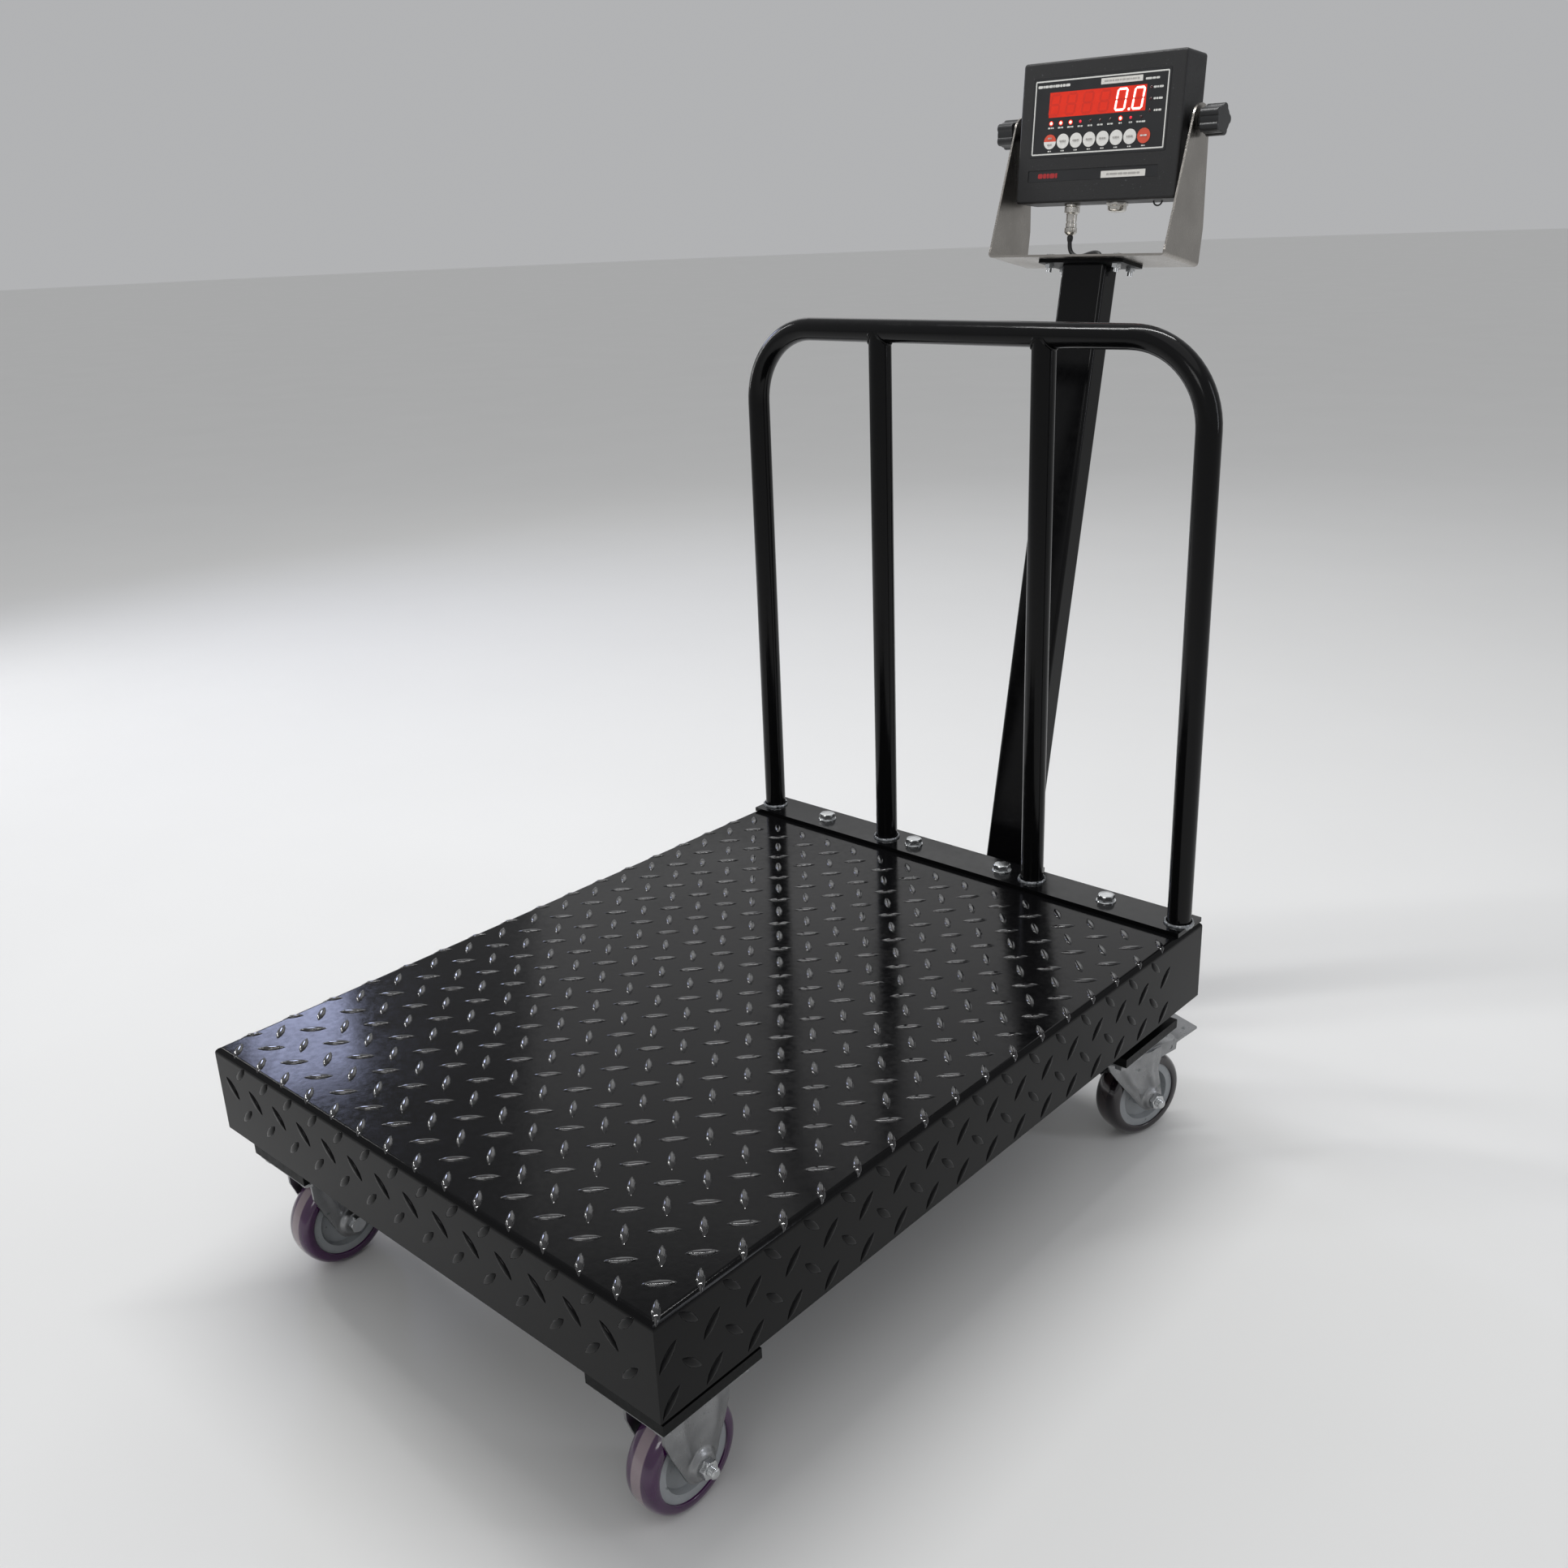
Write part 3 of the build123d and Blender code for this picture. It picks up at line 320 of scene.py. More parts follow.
def frame_enamel():
    # A thinner, satin coat on the welded frame, with road dust on it.
    return coated("satin_black_enamel", ("#0b0c0c", "#08090a"), (0.35, 0.5), 70, 5, 0.06,
                  constants={"IOR": 1.5, "Specular IOR Level": 0.12},
                  speck=("#1f1e1c", 12, 0.33))[0]


def zinc_plate():
    # Bright zinc electroplate on pressed steel: soft grey, cloudy from the bath, with drawing lines.
    return coated("zinc_electroplate", ("#9fa0a1", "#78797b"), (0.24, 0.42), 18, 1.6, 0.03,
                  metallic=1.0, stretch=(1, 1, 0.25), speck=("#6f7374", 14, 0.36))[0]


def bolt_zinc():
    # Brighter zinc on cold-headed bolts, polished by handling.
    return coated("bright_zinc_on_bolts", ("#d9dadb", "#b4b7b8"), (0.16, 0.3), 6, 1.0, 0.02,
                  metallic=1.0)[0]


def brushed_stainless():
    # Stainless sheet ground lengthwise with a coarse belt: streaks 0.6 mm wide.
    return coated("brushed_stainless_steel", ("#b3afa9", "#8d8984"), (0.22, 0.38),
                  40, 0.6, 0.02, metallic=1.0, stretch=(0.04, 1, 0.04))[0]


def nickel_plate():
    # Nickel on turned brass connectors: a warm mirror with faint turning lines.
    return coated("nickel_plate", ("#dcd9d3", "#bdbab4"), (0.10, 0.2), 8, 0.7, 0.01,
                  metallic=1.0)[0]


def cell_nickel():
    # Electroless nickel on a milled steel beam, duller than the connectors.
    return coated("nickel_on_milled_steel", ("#c4c2bd", "#a5a39f"), (0.28, 0.4),
                  20, 1.2, 0.03, metallic=1.0)[0]


def polyurethane(settings, name, deep, band):
    # Cast polyurethane: glossy and slightly clear, with a paler band round the tread.
    material, tree, shader, colour, _ = coated(
        name, (deep, (*[c * 0.45 for c in deep[:3]], 1)), (0.10, 0.2), 22, 3, 0.02,
        constants={"IOR": 1.5, "Coat Weight": 0.5, "Coat Roughness": 0.04, "Subsurface Weight": 0.06,
                   "Subsurface Scale": 0.003, "Subsurface Radius": (0.7, 0.2, 0.8)})
    across = add(tree, "ShaderNodeAttribute", {"attribute_name": "across"}).outputs["Fac"]
    distance = add(tree, "ShaderNodeMath", {"operation": "ABSOLUTE"}, {0: across}).outputs[0]
    half = settings.band / 2
    inside = ramp(tree, distance, half, half + 1.2 * MM, 1.0, 0.0)
    tree.links.new(mixed(tree, inside, colour, band), shader.inputs["Base Color"])
    return material


def moulded_nylon():
    # Grey glass-filled nylon, moulded: matt, with flow marks.
    return coated("grey_moulded_nylon", ("#9a9da0", "#7f8386"), (0.4, 0.55), 16, 0.9, 0.03,
                  constants={"IOR": 1.53}, speck=("#5e6163", 10, 0.34))[0]


def powder_coat(settings):
    # Charcoal powder coat on a pressed case, with a fine wrinkle of about 1 mm.
    tones = ((*settings.case, 1), "#171718")
    return coated("charcoal_powder_coat", tones, (0.42, 0.6), 30, 1.0, 0.16, constants={"IOR": 1.5},
                  speck=("#47484b", 2.2, 0.33))[0]


def printed_film():
    # Polyester label film printed black from behind: fine matt grain.
    return coated("printed_polyester_film", ("#151618", "#1c1d20"), (0.28, 0.4),
                  25, 0.8, 0.015, constants={"IOR": 1.57})[0]


def window_acrylic(settings):
    # Red acrylic with a painted orange-red glow over the whole window, standing in for light from the
    # display behind it: a little uneven, under a smooth gloss.
    material, tree, shader, colour, _ = coated(
        "red_acrylic_window_painted_glow", ((*settings.window, 1), "#b52210"), (0.08, 0.16), 14, 5, 0.01,
        constants={"IOR": 1.49, "Emission Strength": 0.5})
    tree.links.new(colour, shader.inputs["Emission Color"])
    return material


def lamp(name, colour, strength, rim):
    # A lamp lens or a lit bar of the display: diffusing epoxy that glows, mottled a little by the die. The
    # same finish also makes painted glow that is no lamp: halos round lit bars and lamps, unlit bars, dark
    # lamps and the display module.
    material, tree, shader, tone, _ = coated(
        name, (colour, rim), (0.15, 0.25), 3, 0.8, 0.01,
        constants={"IOR": 1.55, "Emission Strength": strength})
    tree.links.new(tone, shader.inputs["Emission Color"])
    return material


def ink(name, colour, shade):
    # Screen-printed ink or a paper label: flat, slightly uneven in cover.
    return coated(name, (colour, shade), (0.45, 0.6), 3, 0.6, 0.01)[0]


def two_tone_key(low, high, height):
    """Key film printed in two colours, the upper half one and the lower half the other."""
    material, tree, shader, _, place = coated("two_tone_key_film", (low, low), (0.35, 0.45), 6, 0.8, 0.01)
    level = add(tree, "ShaderNodeSeparateXYZ", links={0: place}).outputs["Z"]
    above = ramp(tree, level, height, height + 0.4 * MM)
    tree.links.new(mixed(tree, above, low, high), shader.inputs["Base Color"])
    return material


def moulded_knob():
    # Black ABS, moulded with a satin spark-eroded grain.
    return coated("moulded_black_abs", ("#1d1e20", "#151618"), (0.3, 0.42), 12, 0.7, 0.03,
                  constants={"IOR": 1.54})[0]


def cable_rubber():
    # PVC cable sheath: dull black with lengthwise drawing marks.
    return coated("black_pvc_sheath", ("#1b1c1d", "#121314"), (0.38, 0.52), 7, 0.9, 0.03,
                  constants={"IOR": 1.52})[0]


def board_mask():
    # Solder mask over copper: green gloss, darker where the ground plane lies.
    return coated("green_solder_mask", ("#1d6b3a", "#14502a"), (0.25, 0.4), 5, 0.9, 0.02)[0]


def battery_sleeve():
    # Heat-shrunk PVC sleeve, tight and slightly rippled.
    return coated("blue_shrink_sleeve", ("#27509b", "#1d3f80"), (0.22, 0.35), 15, 4, 0.06)[0]


def weld_metal():
    # Silvery weld beads that were brushed but not painted over.
    return coated("brushed_weld_metal", ("#a9abad", "#66696c"), (0.25, 0.45), 3, 0.8, 0.05,
                  metallic=1.0, speck=("#1c1c1e", 5, 0.42))[0]


def stage_paper():
    # Matt, seamless, pale paper.
    return coated("seamless_paper", ("#d6d6d5", "#d2d2d1"), (0.85, 0.95), 400, 3, 0.02)[0]


finishes = {}


def make_finishes(settings):
    """Every finish once, by a short name that the operators use."""
    key_low, key_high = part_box("key_1")
    key_height = (key_low.z + key_high.z) / 2
    finishes.update(
        deck=deck_enamel(settings), lug=lug_enamel(settings), tube=tube_enamel(settings),
        frame=frame_enamel(), zinc=zinc_plate(), bolt=bolt_zinc(), stainless=brushed_stainless(),
        nickel=nickel_plate(), cell=cell_nickel(),
        tyre=polyurethane(settings, "purple_polyurethane", (*settings.tyre, 1), "#83747a"),
        dark_tyre=polyurethane(settings, "dark_polyurethane", linear("#221a20"), "#332a2c"),
        nylon=moulded_nylon(), case=powder_coat(settings), film=printed_film(),
        window=window_acrylic(settings),
        lit=lamp("lit_display_bar", "#fff1e8", 1.5, "#ffe0d2"),
        # painted glow: red halo strips round the lit bars stand in for the light spilling from them
        halo=lamp("display_halo", "#ff2a1c", 1.1, "#f01c10"),
        # painted glow: the unlit bars glow red at strength 0.5 though they are off
        unlit=lamp("unlit_display_bar_painted_glow", "#bc2612", 0.5, "#a81e0e"),
        lamp_on=lamp("lit_lamp", "#fff0e0", 2.2, "#ffc8a8"),
        # painted glow: red rings on the panel round the lit lamps stand in for their spilled light
        lamp_glow=lamp("lamp_glow", "#ff3020", 1.5, "#e02010"),
        lamp_red=lamp("red_lamp", "#e8283c", 1.0, "#c81830"),
        # painted glow: the dark lamps that are off still glow faintly, at strength 0.05
        lamp_off=lamp("dark_lamp_painted_glow", "#4a1a1c", 0.05, "#38161a"),
        ink=ink("white_print", "#e6e6e2", "#cfcfca"), grey_ink=ink("grey_print", "#b5b2ae", "#a29f9b"),
        red_ink=ink("red_print", "#b3262a", "#9c2024"),
        label=ink("paper_label", "#e9e7e1", "#d2d0ca"),
        key=ink("white_key_film", "#eeede9", "#dcdbd6"), red_key=ink("red_key_film", "#e2583f", "#cf4b35"),
        two_tone=two_tone_key("#e9e8e4", "#e0563f", key_height), knob=moulded_knob(), rubber=cable_rubber(),
        board=board_mask(), battery=battery_sleeve(), weld=weld_metal(), paper=stage_paper(),
        # painted glow: the whole display module glows dim red at strength 0.2, not only its lit bars
        led=lamp("display_module_painted_glow", "#7a1009", 0.2, "#5a0c06"),
    )


SLOT_FINISH = {
    "black_paint": "tube", "frame_paint": "frame", "zinc": "zinc", "stainless": "stainless",
    "nickel": "nickel", "tyre_purple": "tyre", "hub_grey": "nylon", "case_charcoal": "case",
    "panel_black": "film", "window_red": "window", "display_red": "led", "board_green": "board",
    "battery_blue": "battery", "key_white": "key", "key_red": "red_key", "knob_black": "knob",
    "rubber_black": "rubber", "cell_steel": "cell",
}
NODE_FINISH = {
    "tread_deck": "deck", "column": "tube", "key_1": "two_tone",
    "rail_bolts": "bolt", "bracket_bolts": "bolt", "housing_screws": "bolt",
}


# ---------------------------------------------------------------- settings
def length(name, description, default):
    """A length in metres, given in millimetres."""
    return FloatProperty(name=name, description=description, default=default * MM, min=0,
                         unit="LENGTH", precision=5)


def colour(name, description, default):
    return FloatVectorProperty(name=name, description=description, default=linear(default)[:3],
                               size=3, min=0, max=1, subtype="COLOR")


class FinishSettings(PropertyGroup):
    """Colours that a user would change."""
    enamel: colour("Enamel", "Colour of the deck, the rail and the column", "#0a0a0b")
    case: colour("Case", "Colour of the indicator's powder coat", "#1f1f20")
    window: colour("Window", "Colour of the indicator's lit window", "#cc2c16")
    tyre: colour("Tyre", "Colour of the front tyres", "#43164a")
    band: length("Tread band", "Width of the paler band round each tyre's tread", 10)


class TreadSettings(PropertyGroup):
    """The raised lugs of the tread plate."""
    length: length("Lug length", "Length of one lug", 27)
    width: length("Lug width", "Width of one lug at its middle", 7.5)
    height: length("Lug height", "How far a lug stands above the plate", 1.5)
    pitch_x: length("Pitch across", "Distance between like lugs across the deck", 41.2)
    pitch_y: length("Pitch along", "Distance between like lugs along the deck", 45.2)
    bend: length("Bend radius", "Radius of the deck's folded edges", 6)


class CasterSettings(PropertyGroup):
    """The pressed forks and tyres."""
    tyre_width: length("Tyre width", "Width of a tyre", 32)
    ridge: length("Ridge height", "Height of the ridges pressed in a fork's legs", 2.4)
    dome: length("Dome height", "Height of the dome pressed round an axle", 4.6)


class PanelSettings(PropertyGroup):
    """The printed panel of the indicator."""
    line: length("Border line", "Width of the white line round the panel", 1.5)
    digit: length("Digit height", "Height of a digit of the display", 21.2)
    slant: FloatProperty(name="Digit slant", description="How far a digit leans to the right",
                         default=math.radians(8), subtype="ANGLE")


class CableSettings(PropertyGroup):
    """The signal cable between the indicator and the column."""
    diameter: length("Cable diameter", "Outer diameter of the signal cable", 5)


class StageSettings(PropertyGroup):
    """Floor, lights and camera."""
    floor: FloatProperty(name="Floor", description="Radius of the floor", default=40, unit="LENGTH")
    lens: FloatProperty(name="Lens", description="Focal length of the camera, for a 36 mm sensor",
                        default=34.5946)


# ---------------------------------------------------------------- deck
def fold(flat, half, radius):
    """Where a sheet's point comes to lie when its edge is folded down.

    flat is the distance from the middle. Up to half - radius it stays flat, then it goes round a
    quarter circle (sin, 1 - cos of the turn) and straight down after that. Returns how far out the
    point is, how far down, and the turn with its sign.
    """
    reach = np.abs(flat) - (half - radius)
    turn = np.clip(reach / radius, 0, np.pi / 2)
    straight = np.maximum(reach - radius * np.pi / 2, 0)
    out = np.minimum(np.abs(flat), half - radius) + radius * np.sin(turn)
    return np.sign(flat) * out, radius * (1 - np.cos(turn)) + straight, np.sign(flat) * turn


def lug_rings(tread, rings=7):
    """A lug lying along X: half-width w (1 - u^2) and height h (1 - u^4) sin(a)^0.7, with a flat foot."""
    u = np.sin(np.linspace(-np.pi / 2, np.pi / 2, rings))[:, None] * 0.985
    angle = np.concatenate([np.linspace(0, np.pi, 7), np.array([5, 6, 7]) * np.pi / 4])[None, :]
    x = u * tread.length / 2 + 0 * angle
    y = tread.width / 2 * (1 - u ** 2) * np.cos(angle)
    rise = np.clip(np.sin(angle), 0, 1) ** 0.7
    z = tread.height * (1 - u ** 4) * rise - 0.3 * MM * (np.sin(angle) < -0.1)
    return np.stack([x, y, z], -1)


class SCALE_OT_tread_lugs(Operator):
    """Rolls the raised lugs on the deck's top, round its bends and down its skirts"""
    bl_idname = "scale_finish.tread_lugs"
    bl_label = "Tread lugs"

    def execute(self, context):
        tread = context.scene.scale_tread
        half_x, half_y = DECK_HALF.x, DECK_HALF.y
        skirt = DECK_HIGH.z - DECK_LOW.z
        edge = tread.bend * (np.pi / 2 - 1)
        first_x, first_y = 193.0 * MM, -281.4 * MM      # middle of one lug near the front corner
        starts = ((first_x, first_y), (first_x + tread.pitch_x / 2, first_y + tread.pitch_y / 2))
        trodden, sides = [], []
        for (start_x, start_y), lean in zip(starts, (math.pi / 4, -math.pi / 4)):
            lug = lug_rings(tread)
            lie = np.array([[math.cos(lean), math.sin(lean)], [-math.sin(lean), math.cos(lean)]])
            low = lug.copy()
            low[..., :2] = lug[..., :2] @ lie
            xs = np.arange(-40, 40) * tread.pitch_x + start_x
            ys = np.arange(-40, 40) * tread.pitch_y + start_y
            grid_x, grid_y = np.meshgrid(xs, ys)
            over_x, over_y = np.abs(grid_x) - half_x, np.abs(grid_y) - half_y
            reach = skirt + edge - 14 * MM              # a lug's half length clear of the skirt's rim
            near_corner = (over_x > -10 * MM) & (over_y > -10 * MM)
            under_strip = (grid_y > half_y - 62 * MM) & (grid_y < half_y + 14 * MM)
            keep = (over_x < reach) & (over_y < reach) & ~near_corner & ~under_strip
            on_top = (over_x < edge) & (over_y < edge)
            for x, y, top in zip(grid_x[keep], grid_y[keep], on_top[keep]):
                out_x, down_x, turn_x = fold(low[..., 0] + x, half_x, tread.bend)
                out_y, down_y, turn_y = fold(low[..., 1] + y, half_y, tread.bend)
                rise = low[..., 2]
                points = np.stack([
                    DECK_MIDDLE.x + out_x + rise * np.sin(turn_x),
                    DECK_MIDDLE.y + out_y + rise * np.sin(turn_y),
                    DECK_HIGH.z - down_x - down_y + rise * np.cos(turn_x) * np.cos(turn_y)], -1)
                (trodden if top else sides).append(skin(points))
        make_piece("tread_lugs", trodden, "base", finishes["lug"], 60)
        make_piece("skirt_lugs", sides, "base", finishes["deck"], 60)
        return {"FINISHED"}


# ---------------------------------------------------------------- rail
def weld_bead(origin, axis, radius, bead=2.6, ripples=15):
    """A bead round a tube's foot: a ring of radius r + b/2 whose section swells with cos(ripples a)."""
    around, section = circle(90), circle(10)
    swell = bead * (1 + 0.16 * np.abs(np.cos(ripples * around / 2)) + 0.1 * np.sin(3 * around))
    ring = radius + 0.3 + swell[:, None] * 0.55 * (1 + np.cos(section))[None, :]
    rise = swell[:, None] * np.sin(section)[None, :]
    angle = around[:, None] + 0.05 * np.sin(section)[None, :]
    flat = np.stack([ring * np.cos(angle), ring * np.sin(angle), rise], -1) * MM
    return skin(placed(flat, origin, *about(axis)), loop=True)


class SCALE_OT_rail_details(Operator):
    """Makes the weld beads at the posts' feet and the hex bolts that hold the rail's strip"""
    bl_idname = "scale_finish.rail_details"
    bl_label = "Rail details"

    def execute(self, context):
        hoop_low, hoop_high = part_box("rail_hoop")
        posts_low, posts_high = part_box("rail_posts")
        middle_y = (hoop_low.y + hoop_high.y) / 2
        tube = (hoop_high.y - hoop_low.y) / 2
        spots = [hoop_low.x + tube, posts_low.x + tube, posts_high.x - tube, hoop_high.x - tube]
        beads = [weld_bead((x, middle_y, STRIP_HIGH.z), UP, tube / MM) for x in spots]
        make_piece("post_welds", beads, "base", finishes["weld"])

        # the posts' coped tops are welded round and painted over
        tops = []
        for x in spots[1:3]:
            angle, section = circle(72), circle(8)
            reach = tube + 0.9 * MM * (1 + np.cos(section))[None, :]
            swing = reach * np.sin(angle)[:, None]
            saddle = np.sqrt(tube ** 2 - np.clip(swing, -tube, tube) ** 2)
            fall = 0.9 * MM * np.sin(section)[None, :] * 1.6 - 1.4 * MM
            points = np.stack([x + reach * np.cos(angle)[:, None],
                               middle_y + np.clip(swing, -tube * 0.99, tube * 0.99),
                               hoop_high.z - tube - saddle + fall], -1)
            tops.append(skin(points, loop=True))
        make_piece("post_top_welds", tops, "base", finishes["tube"], 80)

        low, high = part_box("rail_bolts")
        bolt_y = (low.y + high.y) / 2
        inner_bolt, outer_bolt = 64.0 * MM, 201.5 * MM
        plate_thick, shank = 4.5 * MM, 24.0
        bolts = []
        for x in (inner_bolt, outer_bolt):
            for side in SIDES:
                seat = Vector((side * x, bolt_y, STRIP_HIGH.z))
                washer = [(-0.1, 5.4), (-0.1, 11.0), (1.2, 11.0), (1.6, 10.6), (1.6, 5.4)]
                bolts.append(turned(washer, seat, UP, loop=True))
                bolts.append(hexagon(17, 6.4, seat + UP * 1.6 * MM, UP))
                under = Vector((seat.x, seat.y, DECK_HIGH.z - plate_thick))
                bolts.append(hexagon(17, 7.7, under, -UP))
                bolts.append(thread(5.0, -0.5, shank - 9.5, under, -UP))
        piece = make_piece("rail_hex_bolts", bolts, "base", finishes["bolt"], 25)
        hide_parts("rail_bolts")
        return {"FINISHED"}


# ---------------------------------------------------------------- casters
def tyre_shape(centre, axle, width, outer=50.0, bore=38.04):
    """A moulded tyre: |x / a|^2.7 + |(r - 41) / 9|^2.7 = 1 over its crown, straight sides, plain bore."""
    angle = np.linspace(np.pi, 0, 25)
    half = width / MM / 2
    shoulder = 41.0
    crown_x = half * np.sign(np.cos(angle)) * np.abs(np.cos(angle)) ** (2 / 2.7)
    crown_r = shoulder + (outer - shoulder) * np.abs(np.sin(angle)) ** (2 / 2.7)
    inner_x = np.array([half, half - 0.6, 0.0, 0.6 - half, -half])
    inner_r = np.array([bore + 0.6, bore, bore, bore, bore + 0.6])
    profile = np.column_stack([np.append(crown_x, inner_x), np.append(crown_r, inner_r)])
    shape = turned(profile, centre, axle, 128, loop=True)
    return shape, (shape[0] - np.array(centre)) @ np.array(axle)


def leg_pressing(caster, outline, top, origin, ahead, out):
    """A fork leg's pressed outer skin, a height over the leg's flat face, cut off at its top.

    The outline gives the leg's two edges as (height, u) rows, down to where they touch the round
    end, which is u = sqrt(end^2 - (50 - height)^2). Across the leg t runs from -1 to 1; two ridges
    exp(-((|t| - 0.52) / 0.17)^2) fade into a flat-topped dome round the axle.
    """
    front, back, end = outline.values()
    height = np.concatenate([np.linspace(126.5, 72, 16), np.linspace(70, 50.1 - end, 24)])[:, None]
    t = np.linspace(-1, 1, 33)[None, :]
    low = np.interp(-height, [-h for h, _ in front], [u for _, u in front])
    high = np.interp(-height, [-h for h, _ in back], [u for _, u in back])
    round_end = np.sqrt(np.clip(end ** 2 - (50 - height) ** 2, 0, None))
    low = np.where(height < front[-1][0], -round_end, low)
    high = np.where(height < back[-1][0], round_end, high)
    u = (low + high) / 2 + t * (high - low) / 2
    fade = np.clip((height - 58) / 22, 0, 1)
    ridges = caster.ridge / MM * np.exp(-((np.abs(t) - 0.52) / 0.17) ** 2) * fade
    trough = -0.35 * caster.ridge / MM * np.exp(-(t / 0.25) ** 2) * fade
    distance = np.sqrt(u ** 2 + (height - 50) ** 2)
    step = np.clip((end - 1 - distance) / 4.5, 0, 1)
    dome = caster.dome / MM * step * step * (3 - 2 * step)
    rise = (1.0 + ridges + trough + dome) * (1 - np.abs(t) ** 10) + 0.02
    level = np.minimum(height, top) + 0 * t
    front_face = np.stack([u, level, rise], -1)
    back_face = np.stack([u, level, np.full_like(rise, -0.4)], -1)[:, ::-1]
    rings = np.concatenate([front_face, back_face], axis=1) * MM
    return skin(placed(rings, origin, ahead, UP, out))


FRONT_LEG = {"front": ((126.5, -36.5), (94, -35.5), (77, -29.5), (43.5, -15.3)),
             "back": ((126.5, 36.5), (94, 35.5), (77, 29.5), (43.5, 15.3)), "end": 16.6}
REAR_LEG = {"front": ((126.5, -64.5), (113, -64.5), (103, -60.5), (84, -46.5), (40.7, -11.3)),
            "back": ((126.5, 12), (113, 12), (98, 10.5), (86, 7.6), (53, 14.3)), "end": 14.6}


class SCALE_OT_casters(Operator):
    """Makes the tyres, the pressed fork legs and the axle bolts of the four casters"""
    bl_idname = "scale_finish.casters"
    bl_label = "Casters"

    def execute(self, context):
        caster = context.scene.scale_caster
        leg_face = 23.0 * MM
        for end in ("front", "rear"):
            for hand, side in (("left", -1), ("right", 1)):
                name = f"{end}_{hand}"
                centre, axle = joint_point(f"{name}_wheel_spin"), joint_axis(f"{name}_wheel_spin")
                shape, across = tyre_shape(centre, axle, caster.tyre_width)
                finish = finishes["tyre"] if end == "front" else finishes["dark_tyre"]
                tyre = make_piece(f"{name}_cast_tyre", [shape], f"{name}_wheel", finish, 80,
                                  ("across", across))
                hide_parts(f"{name}_tyre")

                body = "base" if end == "front" else f"{name}_fork"
                ahead = UP.cross(axle)
                outline, top = (FRONT_LEG, 126.5) if end == "front" else (REAR_LEG, 112.0)
                legs, bolt = [], []
                for out in (axle, -axle):
                    floor_point = Vector((centre.x, centre.y, 0)) + out * leg_face
                    legs.append(leg_pressing(caster, outline, top, floor_point, ahead, out))
                    seat = centre + out * (leg_face + caster.dome + 0.9 * MM)
                    bolt.append(hexagon(15, 6.0, seat, out))
                outer = axle * side
                seat = centre + outer * (leg_face + caster.dome + 0.9 * MM)
                bolt.append(thread(5.0, 5.4, 11.5, seat, outer))
                bolt.append(turned([(-26, 5), (26, 5)], centre, axle, 32))
                make_piece(f"{name}_leg_pressings", legs, body, finishes["zinc"], 50)
                axle_bolt = make_piece(f"{name}_axle_bolt", bolt, body, finishes["bolt"], 25)
                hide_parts("front_axles" if end == "front" else f"{name}_axle")
        return {"FINISHED"}


# ---------------------------------------------------------------- indicator
def bar(x0, v0, x1, v1, width):
    """A display bar between two points: a strip whose ends come to a point."""
    start, end = np.array([x0, v0], float), np.array([x1, v1], float)
    along = (end - start) / np.linalg.norm(end - start)
    across = np.array([-along[1], along[0]]) * width / 2
    nib = along * width / 2
    return np.array([start, start + nib - across, end - nib - across,
                     end, end - nib + across, start + nib + across])


def digit_bars(x, v, width, height, slant, thick, bars):
    """The chosen bars of a seven-bar digit centred at x, v and leaning by the slant."""
    w, h = width / 2, height / 2
    ends = {"a": (-w, h, w, h), "b": (w, h, w, 0), "c": (w, 0, w, -h), "d": (-w, -h, w, -h),
            "e": (-w, 0, -w, -h), "f": (-w, h, -w, 0), "g": (-w, 0, w, 0)}
    made = []
    for name in bars:
        outline = bar(*ends[name], thick)
        outline = outline * 0.97 + outline.mean(0) * 0.03
        outline[:, 0] += outline[:, 1] * math.tan(slant)
        made.append(outline + [x, v])
    return made


def dashes(x, v, width, height, pieces):
    """A row of short strips that stands for a caption: widths follow 1 + 0.5 sin(2.4 k)."""
    share = 1 + 0.5 * np.sin(2.4 * np.arange(pieces) + x)
    share = share / share.sum() * (width - 0.5 * (pieces - 1))
    start = x - width / 2 + np.concatenate([[0], np.cumsum(share + 0.5)[:-1]])
    return [face_plate(s + w / 2, v, rounded(w, height, min(w, height) * 0.3, 3), 0.06)
            for s, w in zip(start, share)]


def lifted(shapes, height):
    """Shapes on the panel moved out from its face by a height in millimetres."""
    return [(points + np.array(OUTWARD) * height * MM, quads, fans) for points, quads, fans in shapes]


# Places on the panel, in millimetres to the right of the indicator's pivot and above it.
FIRST_PLACE = -61.5                         # the first lamp and the first key
LAMP_PITCH, LAMP_ROW, LAMP_CAPTIONS = 12.8, 5.3, 0.4
LAMP_CAPTION_WIDTHS = (7.5, 7, 8, 6.5, 6, 7, 7, 4, 4, 11)
SIDE_LAMPS, SIDE_LAMP_ROWS = 63.5, (34.4, 22.8, 10.9)
KEY_PITCH, KEY_ROW, KEY_CAPTIONS = 17.2, -14.2, -24.3
LAST_DIGIT, DIGIT_PITCH, DIGIT_ROW, DIGIT_WIDTH = 48.5, 21.3, 24.7, 11.4
UPPER_LABEL, LOWER_LABEL, FILM_ROW = (26.0, 44.8), (36.3, -51.9), -50.6


